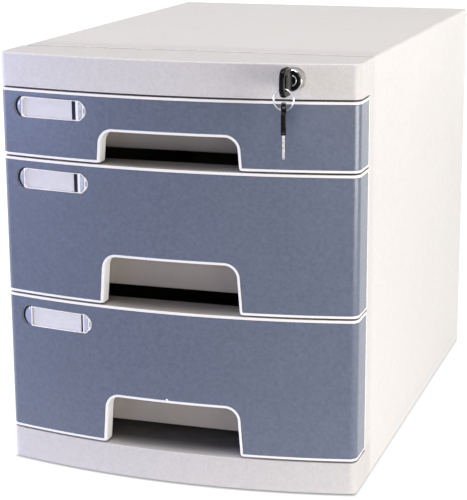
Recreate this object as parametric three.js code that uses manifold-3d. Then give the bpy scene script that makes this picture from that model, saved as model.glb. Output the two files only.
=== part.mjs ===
// Three-drawer desk cabinet with a bowed front, a cam lock in the fascia and a pair of keys.
// Millimetres. X to the right, Y from the front to the back, Z up. While the pieces are built, Y = 0 is
// the plane of the two front corners and Z = 0 the surface the feet stand on; the whole group is then
// shifted so that the origin is the centre of its footprint.
import * as THREE from "three";
import { mergeVertices } from "three/addons/utils/BufferGeometryUtils.js";
import Module from "manifold-3d";

const wasm = await Module();
wasm.setup();

// ---------------------------------------------------------------- driving dimensions
const WIDTH = 280; // over the sides
const HALF = WIDTH / 2;
const DEPTH = 415; // front corners to the rear edge of the shell
const HEIGHT = 324; // floor to top
const SAG = 17.4; // how far the middle of the front stands forward of its corners
const CORNER_R = 7; // plan radius of the two front corners
const FOOT_DROP = 1.5; // clearance between the shell's lower edge and the floor
const WALL = 2.5; // shell and panels
const FRONT_WALL = 3.0; // bowed mouldings
const FRAME_BACK = 46; // rear plane of the front frame, where the shell begins
const FRONT_END = 28.3; // rear end of a drawer front's side returns
const FACE_END = 26.5; // rear end of the coloured face's side returns
const STILE_FRONT = 29; // front plane of the frame's stiles
const OPENING = 134.5; // half width of the frame's opening
const GAP = 1.4; // shadow gap above and below each drawer front
const GAP_Z = [297.8, 245.1, 137.2, 26.6]; // centre heights of the four shadow gaps
const RIM = 2.0; // white border round the coloured face
const FACE_T = 1.2; // thickness of the coloured face
const CUT_TOP_Z = [269.8, 174.9, 64.6]; // top of each finger cut-out
const CUT_HALF_BOTTOM = 54.5; // half width of a finger cut-out at its foot
const CUT_SLOPE = 0.075; // how much its sides lean in per millimetre of height
const CUT_R = 10; // corner radius of a finger cut-out
const FLANGE_BACK = 16; // rear edge of a drawer front's top flange
const CUFF_BACK = -3.3; // rear edge of the cuff round a finger cut-out
const BOSS_BACK = -0.9; // rear end of the two screw bosses, which pass through holes in the tray
const LABEL = { x: -96.2, length: 64.2, height: 16, drop: [13.5, 15.5, 16.7] };
const TRAY = { half: 127, front: 3, back: 390, wall: 2.2 };
const NOSE = { half: 98, front: -2.9 }; // flat middle of the tray's front wall, close behind the cut-out
const TRAY_Z = [
  [255.8, 291],
  [150.6, 239],
  [42.2, 131],
];
const RIB_Z = [276, 215, 100]; // underside of each tray's sliding rib
const RIB = { out: 134, thick: 2.5, front: 53.4, back: 388 };
const RUNNER = { front: 62.5, back: 402, web: 134.7, edge: 128.5, out: 137.2, play: 0.35, t: 2.5 };
const LOCK = { x: 94.3, z: 313.2, headR: 7.8, proud: 9.5 };
const CRANK = 6; // radius of the cam's pin about the lock axis
const LIFT = 2 * CRANK * Math.sin(Math.PI / 4); // travel of the lock bar over a quarter turn
const KEY = { length: 20.7, height: 20.2, thick: 3.8, gapToFace: 3.5, neck: 1.7, blade: 17, bladeT: 1.8, bladeH: 6.2, rise: 0.6 };
const SLOT = { fromEnd: 3.8, wide: 4.0, half: 5.3 };
const RING = { mean: 7.2, wire: 0.6 };
const SPARE_YAW = (16.4 * Math.PI) / 180; // the spare key hangs turned this far about the vertical

const bowY = (x) => -SAG * (1 - (x / HALF) ** 2);
const LOCK_Y = bowY(LOCK.x); // front surface at the lock

// ---------------------------------------------------------------- helpers
const V = (x, y) => new THREE.Vector2(x, y);

function solid(geometry) {
  const g = geometry.clone();
  g.deleteAttribute("normal");
  g.deleteAttribute("uv");
  const merged = mergeVertices(g, 1e-4);
  const p = merged.attributes.position.array;
  const index = merged.index.array;
  const build = (flip) => {
    const tri = [];
    for (let i = 0; i < index.length; i += 3) {
      const a = index[i], b = index[i + 1], c = index[i + 2];
      if (a !== b && b !== c && a !== c) tri.push(a, flip ? c : b, flip ? b : c);
    }
    return new wasm.Manifold(
      new wasm.Mesh({ numProp: 3, vertProperties: new Float32Array(p), triVerts: new Uint32Array(tri) }),
    );
  };
  const made = build(false);
  return made.volume() < 0 ? build(true) : made;
}

function geometryOf(body) {
  const m = body.getMesh();
  const g = new THREE.BufferGeometry();
  const n = m.numProp;
  const v = new Float32Array(m.numVert * 3);
  for (let i = 0; i < m.numVert; i++) v.set(m.vertProperties.subarray(i * n, i * n + 3), i * 3);
  g.setAttribute("position", new THREE.BufferAttribute(v, 3));
  g.setIndex(new THREE.BufferAttribute(new Uint32Array(m.triVerts), 1));
  g.computeVertexNormals();
  return g;
}

const union = (...s) => s.reduce((a, b) => a.add(b));
const cut = (a, ...s) => s.reduce((x, y) => x.subtract(y), a);

function extruded(points, depth, options = {}) {
  return new THREE.ExtrudeGeometry(new THREE.Shape(points), { depth, bevelEnabled: false, ...options });
}
// outline in X and Y, extruded up from z0 to z1
const prismZ = (points, z0, z1) => solid(extruded(points, z1 - z0).translate(0, 0, z0));
// outline in X and Z, extruded from y0 to y1
const prismY = (points, y0, y1) => solid(extruded(points, y1 - y0).rotateX(Math.PI / 2).translate(0, y1, 0));
// outline in Y and Z, extruded from x0 to x1
function prismX(points, x0, x1, options) {
  const basis = new THREE.Matrix4().makeBasis(
    new THREE.Vector3(0, 1, 0), new THREE.Vector3(0, 0, 1), new THREE.Vector3(1, 0, 0),
  );
  return solid(extruded(points, x1 - x0, options).applyMatrix4(basis).translate(x0, 0, 0));
}
function box(x0, x1, y0, y1, z0, z1) {
  return solid(
    new THREE.BoxGeometry(x1 - x0, y1 - y0, z1 - z0).translate((x0 + x1) / 2, (y0 + y1) / 2, (z0 + z1) / 2),
  );
}
// solid of revolution about a line parallel to Y through (x, z): profile of [radius, y]
const latheY = (profile, x, z, segments = 32) =>
  solid(new THREE.LatheGeometry(profile.map(([r, y]) => V(r, y)), segments).translate(x, 0, z));
// solid of revolution about a line parallel to Z through (x, y): profile of [radius, z]
const latheZ = (profile, x, y, segments = 32) =>
  solid(new THREE.LatheGeometry(profile.map(([r, z]) => V(r, z)), segments).rotateX(Math.PI / 2).translate(x, y, 0));
const rodY = (r, y0, y1, x, z, segments = 24) => latheY([[0, y0], [r, y0], [r, y1], [0, y1]], x, z, segments);

// closed outline with each corner rounded by its own radius
function rounded(corners, radii, steps = 5) {
  const out = [];
  const n = corners.length;
  corners.forEach(([x, y], i) => {
    const r = Array.isArray(radii) ? radii[i] : radii;
    const p = V(x, y);
    const a = V(...corners[(i + n - 1) % n]).sub(p);
    const b = V(...corners[(i + 1) % n]).sub(p);
    if (!r) return out.push(p);
    const half = Math.acos(THREE.MathUtils.clamp(a.clone().normalize().dot(b.clone().normalize()), -1, 1)) / 2;
    const reach = r / Math.tan(half);
    const from = p.clone().addScaledVector(a.normalize(), reach);
    const to = p.clone().addScaledVector(b.normalize(), reach);
    const centre = p.clone().addScaledVector(a.clone().add(b).normalize(), r / Math.sin(half));
    const a0 = Math.atan2(from.y - centre.y, from.x - centre.x);
    let sweep = Math.atan2(to.y - centre.y, to.x - centre.x) - a0;
    if (sweep > Math.PI) sweep -= 2 * Math.PI;
    if (sweep < -Math.PI) sweep += 2 * Math.PI;
    for (let k = 0; k <= steps; k++)
      out.push(V(centre.x + r * Math.cos(a0 + (sweep * k) / steps), centre.y + r * Math.sin(a0 + (sweep * k) / steps)));
  });
  return out;
}
const rect = (cx, cy, w, h, r, steps) =>
  rounded([[cx - w / 2, cy - h / 2], [cx + w / 2, cy - h / 2], [cx + w / 2, cy + h / 2], [cx - w / 2, cy + h / 2]], r, steps);

// plan outline of the bowed front, moved inwards by inset and closed by a straight back edge
function frontOutline(inset, back, steps = 26) {
  const slope = (2 * SAG) / HALF; // of the bow at its ends
  const len = Math.hypot(1, slope);
  const r = CORNER_R;
  const cx = HALF - r;
  const cy = -slope * r + r * len; // centre of the right corner's arc
  const tangentX = cx + (r * slope) / len;
  const right = [V(HALF - inset, back), V(HALF - inset, cy)];
  const a1 = Math.atan2(-1, slope); // direction from the arc's centre to the end of the bow
  const arcSteps = 5;
  for (let k = 1; k <= arcSteps; k++) {
    const a = (a1 * k) / arcSteps;
    right.push(V(cx + (r - inset) * Math.cos(a), cy + (r - inset) * Math.sin(a)));
  }
  const points = [...right];
  for (let k = 1; k < steps; k++) {
    const x = tangentX * (1 - (2 * k) / steps);
    const s = (2 * SAG * x) / (HALF * HALF);
    const l = Math.hypot(1, s);
    points.push(V(x - (inset * s) / l, bowY(x) + inset / l));
  }
  for (const p of right.reverse()) points.push(V(-p.x, p.y));
  return points;
}
// bowed slab between two insets
const band = (outer, inner, z0, z1, back) =>
  cut(prismZ(frontOutline(outer, back), z0, z1), prismZ(frontOutline(inner, back + 2), z0 - 1, z1 + 1));

const pieces = new THREE.Group();
const COLOURS = {
  white: [0xe9e6e0, 0.5, 0], shade: [0xc9c6bf, 0.6, 0], tray: [0xb9b5ac, 0.6, 0], blue: [0x717b8c, 0.35, 0],
  clear: [0xdfe3ee, 0.15, 0], paper: [0xe6e2ee, 0.8, 0], chrome: [0xd0d2d4, 0.15, 1], black: [0x141416, 0.4, 0],
  steel: [0xb8babc, 0.35, 1], rubber: [0x2b2b2c, 0.9, 0], zinc: [0xa9acae, 0.45, 1],
};
function add(name, body, colour, parent = pieces) {
  const [hex, roughness, metalness] = COLOURS[colour];
  const mesh = new THREE.Mesh(
    geometryOf(body),
    new THREE.MeshStandardMaterial({ color: hex, roughness, metalness }),
  );
  mesh.name = name;
  parent.add(mesh);
  return mesh;
}

// ---------------------------------------------------------------- front frame
const fasciaZ0 = GAP_Z[0] + GAP / 2;
const plinthZ1 = GAP_Z[3] - GAP / 2;
{
  // fascia: box open to the back, its top front edge rounded
  const edge = 2.6;
  const beveled = solid(
    new THREE.ExtrudeGeometry(new THREE.Shape(frontOutline(0, FRAME_BACK + 10)), {
      depth: HEIGHT - fasciaZ0, bevelEnabled: true, bevelThickness: edge, bevelSize: edge, bevelOffset: -edge, bevelSegments: 3,
    }).translate(0, 0, fasciaZ0 - edge),
  );
  const fasciaOuter = beveled.intersect(box(-200, 200, -60, FRAME_BACK, fasciaZ0, HEIGHT + 1));
  const fascia = cut(
    fasciaOuter,
    prismZ(frontOutline(FRONT_WALL - 0.2, FRAME_BACK + 4), fasciaZ0 + 2.5, HEIGHT - 2.6),
  );
  const boss = rodY(10, LOCK_Y - 1.5, -1, LOCK.x, LOCK.z, 32).intersect(fasciaOuter);
  // plinth: front, sides and top, open below and behind
  const plinth = cut(
    prismZ(frontOutline(0, FRAME_BACK), FOOT_DROP, plinthZ1),
    prismZ(frontOutline(FRONT_WALL - 0.2, FRAME_BACK + 4), 0, plinthZ1 - 2.5),
  );
  const stile = (s) =>
    prismZ(
      [[OPENING, STILE_FRONT], [HALF, STILE_FRONT], [HALF, FRAME_BACK], [HALF - 2.8, FRAME_BACK], [HALF - 2.8, STILE_FRONT + 2.5], [OPENING, STILE_FRONT + 2.5]]
        .map(([x, y]) => V(s * x, y)),
      plinthZ1 - 1.5, fasciaZ0 + 1.5,
    );
  add(
    "front_frame",
    cut(
      union(fascia, boss, plinth, stile(1), stile(-1)),
      rodY(8.1, -40, LOCK_Y + 1.3, LOCK.x, LOCK.z, 36),
      rodY(6.1, -40, 5, LOCK.x, LOCK.z, 32),
    ),
    "white",
  );
}

// ---------------------------------------------------------------- shell, base, back, feet
const shellFront = FRAME_BACK + 0.3;
{
  const profile = [
    [HALF, FOOT_DROP], [HALF, HEIGHT], [-HALF, HEIGHT], [-HALF, FOOT_DROP],
    [-HALF + WALL, FOOT_DROP], [-HALF + WALL, HEIGHT - WALL], [HALF - WALL, HEIGHT - WALL], [HALF - WALL, FOOT_DROP],
  ];
  let shell = prismY(rounded(profile, [0, 3, 3, 0, 0, 0, 0, 0], 4), shellFront, DEPTH);
  for (const s of [-1, 1])
    for (const z of [20.5, 315.5]) {
      shell = shell.add(box(s > 0 ? 125 : -138, s > 0 ? 138 : -125, 396, 409.7, z - 6.5, z + 6.5));
      shell = shell.subtract(rodY(1.7, 399, 411, s * 130.5, z, 12));
    }
  add("shell", shell, "white");

  let back = box(-137.2, 137.2, 410, 412.5, 9, HEIGHT - WALL - 0.3);
  for (const s of [-1, 1]) for (const z of [20.5, 315.5]) back = back.subtract(rodY(1.9, 405, 416, s * 130.5, z, 16));
  add("back_panel", back, "shade");
  let k = 1;
  for (const z of [20.5, 315.5])
    for (const s of [-1, 1])
      add(
        `screw_back_${k++}`,
        latheY([[0, 400.5], [1.4, 401.5], [1.4, 412.8], [3.4, 412.8], [3.4, 413.6], [2.4, 414.6], [0, 414.6]], s * 130.5, z, 16),
        "zinc",
      );

  const feet = [[-110, 75], [110, 75], [-110, 385], [110, 385]];
  let base = box(-137.2, 137.2, shellFront, 409.5, 6, 8.5);
  for (const x of [-60, 0, 60]) base = base.add(box(x - 1.2, x + 1.2, 60, 400, 2.5, 6.5));
  for (const [x, y] of feet) base = base.subtract(latheZ([[0, 2], [3, 2], [3, 12], [0, 12]], x, y, 20));
  add("base_panel", base, "shade");
  feet.forEach(([x, y], i) =>
    add(`foot_${i + 1}`, latheZ([[0, 0], [8.6, 0], [9.6, 1], [9.6, 5.7], [2.7, 5.7], [2.7, 10.2], [0, 10.2]], x, y, 28), "rubber"),
  );
}

// ---------------------------------------------------------------- runners
for (let d = 0; d < 3; d++) {
  const z = RIB_Z[d];
  const r = RUNNER;
  for (const [side, s] of [["left", -1], ["right", 1]]) {
    const profile = [
      [r.edge, z - r.play - r.t], [r.out, z - r.play - r.t], [r.out, z + RIB.thick + r.play + r.t], [r.edge + 1, z + RIB.thick + r.play + r.t],
      [r.edge + 1, z + RIB.thick + r.play], [r.web, z + RIB.thick + r.play], [r.web, z - r.play], [r.edge, z - r.play],
    ].map(([x, y]) => V(s * x, y));
    add(`runner_${d + 1}_${side}`, prismY(profile, r.front, r.back), "shade");
  }
}

// ---------------------------------------------------------------- drawers
function cutOutline(d, grow) {
  const zb = GAP_Z[d + 1] + GAP / 2;
  const zt = CUT_TOP_Z[d] + grow;
  const at = (z) => CUT_HALF_BOTTOM + grow - CUT_SLOPE * (z - zb);
  return rounded(
    [[-at(zb - 6), zb - 6], [at(zb - 6), zb - 6], [at(zt), zt], [-at(zt), zt]],
    [0, 0, CUT_R + grow, CUT_R + grow], 6,
  );
}
for (let d = 0; d < 3; d++) {
  const n = d + 1;
  const zt = GAP_Z[d] - GAP / 2;
  const zb = GAP_Z[d + 1] + GAP / 2;
  const [t0, t1] = TRAY_Z[d];
  const screwX = [-92, 92];
  const screwZ = t0 + (t1 - t0) * (d === 0 ? 0.62 : 0.6);

  // tray: four walls with a sliding rib along the left one, and a floor plate let in between them
  const w = TRAY.wall;
  const trayOutline = (d) => [
    V(-TRAY.half + d, TRAY.front + 0.817 * d), V(-NOSE.half + 0.1 * d, NOSE.front + d), V(NOSE.half - 0.1 * d, NOSE.front + d),
    V(TRAY.half - d, TRAY.front + 0.817 * d), V(TRAY.half - d, TRAY.back - d), V(-TRAY.half + d, TRAY.back - d),
  ];
  let tray = cut(prismZ(trayOutline(0), t0, t1), prismZ(trayOutline(w), t0 - 1, t1 + 1));
  tray = tray.add(box(-RIB.out, -TRAY.half + 1, RIB.front, RIB.back, RIB_Z[d], RIB_Z[d] + RIB.thick));
  for (const x of screwX) tray = tray.subtract(rodY(4.5, -8, 8, x, screwZ, 20));
  add(`tray_${n}`, tray, "tray");
  add(`tray_floor_${n}`, prismZ(trayOutline(w + 0.15), t0, t0 + w), "tray");
  // the right side's rib is a rail of its own, with the catch for the lock bar at its front end
  add(
    `catch_rail_${n}`,
    union(
      box(TRAY.half + 0.2, RIB.out, RIB.front, RIB.back, RIB_Z[d], RIB_Z[d] + RIB.thick),
      box(TRAY.half + 0.2, 131.5, RIB.front, RIB.front + 4.6, RIB_Z[d] - 9, RIB_Z[d] + 1),
    ),
    "tray",
  );

  // front moulding
  const outer = prismZ(frontOutline(0, FRONT_END), zb, zt);
  const inner = (z0, z1, y0) =>
    prismZ(frontOutline(FRONT_WALL, FRONT_END + 3), z0, z1).intersect(box(-200, 200, y0, 200, z0 - 1, z1 + 1));
  let front = cut(outer, inner(zb + 2.2, zt - 2.2, -100), inner(zt - 3, zt + 1, FLANGE_BACK), inner(zb - 1, zb + 3, CUFF_BACK));
  const cuff = prismY(cutOutline(d, RIM), -40, CUFF_BACK).intersect(prismZ(frontOutline(0, FRONT_END), zb, zt));
  front = front.add(cuff);
  for (const x of screwX) {
    front = front.add(rodY(4.2, bowY(x) + 1.5, BOSS_BACK, x, screwZ, 20).intersect(outer));
    front = front.subtract(rodY(2.1, bowY(x) + 2.2, 8, x, screwZ, 14));
  }
  front = front.subtract(prismY(cutOutline(d, 0), -40, 40));
  // seat for the coloured face, and a deeper pocket for the label
  const lz = zt - LABEL.drop[d];
  const pill = (grow) =>
    prismY(rect(LABEL.x, lz, LABEL.length + 2 * grow, LABEL.height + 2 * grow, LABEL.height / 2 + grow - 0.01, 6), -40, 40);
  const faceRegion = (grow, back) =>
    cut(
      band(0, FACE_T, zb + RIM + grow, zt - RIM - grow, back).add(
        band(-2, 0.05, zb + RIM + grow, zt - RIM - grow, back),
      ),
      prismY(cutOutline(d, RIM + grow), -60, 60),
    );
  front = cut(front, faceRegion(0, FACE_END), pill(0).intersect(band(-2, 2.2, zb, zt, 20)));
  add(`drawer_front_${n}`, front, "white");

  // coloured face, following the bow and wrapping both corners
  const face = cut(
    band(0.02, FACE_T - 0.3, zb + RIM + 0.25, zt - RIM - 0.25, FACE_END - 0.3),
    prismY(cutOutline(d, RIM + 0.25), -60, 60),
    pill(0),
  );
  add(`face_${n}`, face, "blue");

  // label card behind a clear holder with a slot at its right end
  const lift = (solidBody) => solidBody;
  const card = band(1.55, 1.9, zb, zt, 20).intersect(prismY(rect(LABEL.x - 3.9, lz, 46, 13.6, 0.6, 2), -40, 40));
  add(`label_card_${n}`, lift(card), "paper");
  const holder = cut(
    band(0.45, 1.25, zb, zt, 20).intersect(
      prismY(rect(LABEL.x + 1.7, lz, LABEL.length - 4.1, LABEL.height - 0.7, LABEL.height / 2 - 0.36, 6), -40, 40),
    ),
    prismY(rect(LABEL.x + 21.3, lz, 2.9, 13.6, 0.4, 2), -40, 40),
  );
  add(`label_holder_${n}`, holder, "clear");

  screwX.forEach((x, i) =>
    add(
      `screw_front_${n}_${i ? "right" : "left"}`,
      latheY([[0, bowY(x) + 2.5], [1.8, bowY(x) + 3.5], [1.8, -0.4], [6, -0.4], [6, 0.3], [4.6, 1.3], [0, 1.3]], x, screwZ, 20),
      "zinc",
    ),
  );
}

// ---------------------------------------------------------------- lock
const faceY = LOCK_Y - LOCK.proud; // front plane of the lock's head
{
  const seat = LOCK_Y + 1.3;
  add(
    "lock_housing",
    latheY(
      [
        [7.1, faceY], [7.4, faceY], [LOCK.headR, faceY + 0.5], [LOCK.headR, seat - 0.3], [5.8, seat - 0.3], [5.8, 9],
        [4.7, 9], [4.7, faceY + 2.1], [7.1, faceY + 2.1], [7.1, faceY],
      ],
      LOCK.x, LOCK.z, 40,
    ),
    "chrome",
  );
  const hex = Array.from({ length: 6 }, (_, i) => {
    const a = (i * Math.PI) / 3;
    return V(LOCK.x + (7.5 / Math.cos(Math.PI / 6)) * Math.cos(a), LOCK.z + (7.5 / Math.cos(Math.PI / 6)) * Math.sin(a));
  });
  add("lock_nut", cut(prismY(hex, -0.7, 2.6), rodY(6.1, -3, 5, LOCK.x, LOCK.z, 32)), "zinc");

  const square = (s) => rect(LOCK.x, LOCK.z, s, s, 0, 1);
  add(
    "lock_plug",
    cut(
      union(
        latheY([[0, faceY + 0.3], [6.3, faceY + 0.3], [6.8, faceY + 0.75], [6.8, faceY + 1.8], [4.4, faceY + 1.8], [4.4, 12], [0, 12]], LOCK.x, LOCK.z, 32),
        prismY(square(5.4), 11, 15.2),
      ),
      box(LOCK.x - 1.3, LOCK.x + 1.3, faceY - 2, -2, LOCK.z - 3.6, LOCK.z + 3.6),
      rodY(1.6, 9, 17, LOCK.x, LOCK.z, 14),
    ),
    "black",
  );
  // cam: disc on the plug's square tail, with an arm and a pin that lifts the bar
  const pinX = LOCK.x - CRANK * Math.cos(Math.PI / 4);
  const pinZ = LOCK.z - CRANK * Math.sin(Math.PI / 4);
  add(
    "lock_cam",
    cut(
      union(
        rodY(5.6, 12.3, 14.3, LOCK.x, LOCK.z, 28),
        rodY(2.6, 12.3, 14.3, pinX, pinZ, 20),
        rodY(1.5, 13.3, 21.7, pinX, pinZ, 20),
      ),
      prismY(square(6), 11, 16),
    ),
    "steel",
  );
  add("cam_screw", latheY([[0, 9.6], [1.3, 10.2], [1.3, 15.5], [3.9, 15.5], [3.9, 16.3], [3.0, 17.3], [0, 17.3]], LOCK.x, LOCK.z, 20), "zinc");

  // lock bar: arm slotted for the cam's pin, web along the side and strip down past the drawers, with three tabs on it
  const inX = 134.9, outX = 136.9, armY = [19, 21];
  const armZ = [pinZ - 3.5, pinZ + 3.5];
  let bar = union(
    box(84.4, outX, armY[0], armY[1], armZ[0], armZ[1]),
    box(inX, outX, armY[0], 59.5, armZ[0], armZ[1]),
    box(inX, outX, 49.5, 59.5, 70, armZ[1]),
  );
  bar = bar.subtract(prismY(rect((86.2 + 92.2) / 2, pinZ, 6, 3.9, 1.9, 4), 15, 25));
  add("lock_bar", bar, "steel");
  RIB_Z.forEach((z, i) => add(`lock_tab_${i + 1}`, box(130, inX - 0.2, 49.8, 52.4, z - 20, z - 11), "steel"));
  add("bar_guide", cut(box(132.6, 137.2, 46.7, 62.2, 147, 173), box(134.5, 138, 49.1, 59.9, 146, 174)), "shade");
}

// ---------------------------------------------------------------- keys
// A key lies in the plane of its bow: u runs from the bow's outer end towards the tip, v across.
function keyBow() {
  const k = KEY;
  const shoulder = k.length;
  const c = k.rise;
  const h = k.height / 2;
  const outline = rounded(
    [
      [0, c - h], [shoulder, c - h], [shoulder, -4.4], [shoulder + k.neck, -4.4],
      [shoulder + k.neck, 4.4], [shoulder, 4.4], [shoulder, c + h], [0, c + h],
    ],
    [7, 4.8, 0.2, 0.5, 0.5, 0.2, 6, 7], 5,
  );
  const t = k.thick;
  const plate = prismX(outline, -t / 2, t / 2, undefined);
  const slot = prismX(rect(SLOT.fromEnd + SLOT.wide / 2, c, SLOT.wide, 2 * SLOT.half, 1.6, 3), -5, 5);
  const pocket = box(-k.bladeT / 2 - 0.15, k.bladeT / 2 + 0.15, shoulder - 6, shoulder + k.neck + 1, -k.bladeH / 2 - 0.15, k.bladeH / 2 + 0.15);
  return cut(plate, slot, pocket);
}
function keyBlade() {
  const k = KEY;
  const u0 = k.length - 5.7;
  const u1 = k.length + k.neck + k.blade;
  const h = k.bladeH / 2;
  const top = [[0, h], [9.2, h], [10, h - 0.9], [11.6, h - 0.9], [12.4, h - 0.2], [13.6, h - 1.1], [15, h - 1.1], [15.8, h - 0.4], [17, h - 0.9], [18.4, h - 0.9], [19.4, h - 0.2]];
  const outline = [
    ...top.map(([u, v]) => V(u0 + u, v)),
    V(u1 - 1.6, h - 0.4), V(u1, 0.9), V(u1, -0.9), V(u1 - 1.6, -h + 0.4),
    ...top.reverse().map(([u, v]) => V(u0 + u, -v)),
  ];
  return prismX(outline, -k.bladeT / 2, k.bladeT / 2);
}
const keyEndY = faceY - KEY.gapToFace - KEY.length; // outer end of the bow of the key in the lock
{
  const inLock = new THREE.Group();
  inLock.position.set(LOCK.x, keyEndY, LOCK.z);
  add("key_bow", keyBow(), "black", inLock);
  add("key_blade", keyBlade(), "steel", inLock);
  pieces.add(inLock);
}
// the ring hangs in the bow's slot, in a plane square to the key
const ringY = keyEndY + SLOT.fromEnd + SLOT.wide / 2;
const ringTop = LOCK.z + KEY.rise - SLOT.half + RING.wire + 0.49;
const ringZ = ringTop - RING.mean;
{
  const ring = new THREE.LatheGeometry(
    Array.from({ length: 9 }, (_, i) => {
      const a = (i * Math.PI) / 4;
      return V(RING.mean + RING.wire * Math.cos(a), RING.wire * Math.sin(a));
    }),
    44,
  );
  add("key_ring", solid(ring.translate(LOCK.x, ringY, ringZ)), "chrome");
}
// the spare key hangs blade down from the foot of the ring
{
  const spare = new THREE.Group();
  const slotWallToEnd = SLOT.fromEnd; // from the bow's outer end to the slot
  spare.position.set(LOCK.x, ringY, ringZ - RING.mean + slotWallToEnd + RING.wire + 0.5);
  spare.rotation.set(-Math.PI / 2, 0, SPARE_YAW, "ZYX");
  const hang = new THREE.Group();
  hang.position.set(0, 0, -KEY.rise);
  add("spare_key_bow", keyBow(), "black", hang);
  add("spare_key_blade", keyBlade(), "steel", hang);
  spare.add(hang);
  pieces.add(spare);
}

// ---------------------------------------------------------------- origin at the middle of the footprint
pieces.updateMatrixWorld(true);
const bounds = new THREE.Box3().setFromObject(pieces, true);
pieces.position.set(-(bounds.min.x + bounds.max.x) / 2, -(bounds.min.y + bounds.max.y) / 2, -bounds.min.z);
pieces.name = "desk_drawer_cabinet";

export default pieces;
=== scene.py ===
"""Looks of a three-drawer desk cabinet with a bowed front, a cam lock and a pair of keys.

Lengths below are in millimetres in the build frame of the model (X to the right, Y from the plane of the two front
corners to the back, Z up from the surface that the feet stand on); W() turns them into metres in the row frame.
"""

import math
from bisect import bisect_right

import bmesh
import bpy
import numpy as np
from mathutils import Matrix, Vector
from mathutils.geometry import delaunay_2d_cdt


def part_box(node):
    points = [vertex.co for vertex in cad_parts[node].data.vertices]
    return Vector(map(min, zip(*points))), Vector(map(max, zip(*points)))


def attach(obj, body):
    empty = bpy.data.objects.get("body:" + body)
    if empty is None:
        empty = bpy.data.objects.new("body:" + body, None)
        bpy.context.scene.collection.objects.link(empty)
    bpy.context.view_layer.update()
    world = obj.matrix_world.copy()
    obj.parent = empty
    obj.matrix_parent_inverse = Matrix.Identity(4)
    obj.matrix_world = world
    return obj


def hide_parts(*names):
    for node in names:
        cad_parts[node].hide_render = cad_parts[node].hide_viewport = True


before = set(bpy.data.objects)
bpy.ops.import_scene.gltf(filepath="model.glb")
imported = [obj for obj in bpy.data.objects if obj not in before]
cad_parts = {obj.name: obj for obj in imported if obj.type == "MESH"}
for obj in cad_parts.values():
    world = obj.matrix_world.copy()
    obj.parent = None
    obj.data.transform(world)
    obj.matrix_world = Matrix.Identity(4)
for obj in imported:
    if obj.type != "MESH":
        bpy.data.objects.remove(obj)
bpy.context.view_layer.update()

# ------------------------------------------------------------------ dimensions
HALF, DEPTH, HEIGHT = 140.0, 415.0, 324.0
SAG, CORNER_R = 17.4, 7.0
FOOT_DROP, WALL, FRONT_WALL = 1.5, 2.5, 3.0
FRAME_BACK, FRONT_END, STILE_FRONT, OPENING = 46.0, 28.3, 29.0, 134.5
GAP_Z = [297.8, 245.1, 137.2, 26.6]
HALF_GAP = 0.7
RIM, FACE_T = 2.0, 1.2
CUT_TOP_Z = [269.8, 174.9, 64.6]
CUT_HALF_BOTTOM, CUT_SLOPE, CUT_R = 54.5, 0.075, 10.0
FLANGE_BACK, CUFF_BACK, BOSS_BACK = 16.0, -3.3, -0.9
LABEL_X, LABEL_L, LABEL_H, LABEL_DROP = -96.2, 64.2, 16.0, [13.5, 15.5, 16.7]
TRAY_HALF, TRAY_FRONT, TRAY_BACK, TRAY_WALL = 127.0, 3.0, 390.0, 2.2
NOSE_HALF, NOSE_FRONT = 98.0, -2.9
TRAY_Z = [(255.8, 291.0), (150.6, 239.0), (42.2, 131.0)]
RIB_Z = [276.0, 215.0, 100.0]
LOCK_X, LOCK_Z, HEAD_R, PROUD = 94.3, 313.2, 7.8, 9.5
KEY_LEN, KEY_H, KEY_T, KEY_GAP, KEY_NECK, KEY_RISE = 20.7, 20.2, 3.8, 3.5, 1.7, 0.6
BLADE_L, BLADE_T, BLADE_H = 17.0, 1.8, 6.2
SLOT_END, SLOT_W, SLOT_HALF = 3.8, 4.0, 5.3
RING_MEAN, RING_WIRE = 7.2, 0.6
SPARE_YAW = math.radians(16.4)

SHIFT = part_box("shell")[1][1] * 1000 - DEPTH  # row Y of the plane of the front corners


def bow_y(x):
    return -SAG * (1 - (x / HALF) ** 2)


LOCK_Y = bow_y(LOCK_X)
FACE_Y = LOCK_Y - PROUD
KEY_END_Y = FACE_Y - KEY_GAP - KEY_LEN
RING_Y = KEY_END_Y + SLOT_END + SLOT_W / 2
RING_Z = LOCK_Z + KEY_RISE - SLOT_HALF + RING_WIRE + 0.49 - RING_MEAN


def W(x, y, z):
    return Vector((x * 0.001, (y + SHIFT) * 0.001, z * 0.001))


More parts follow.
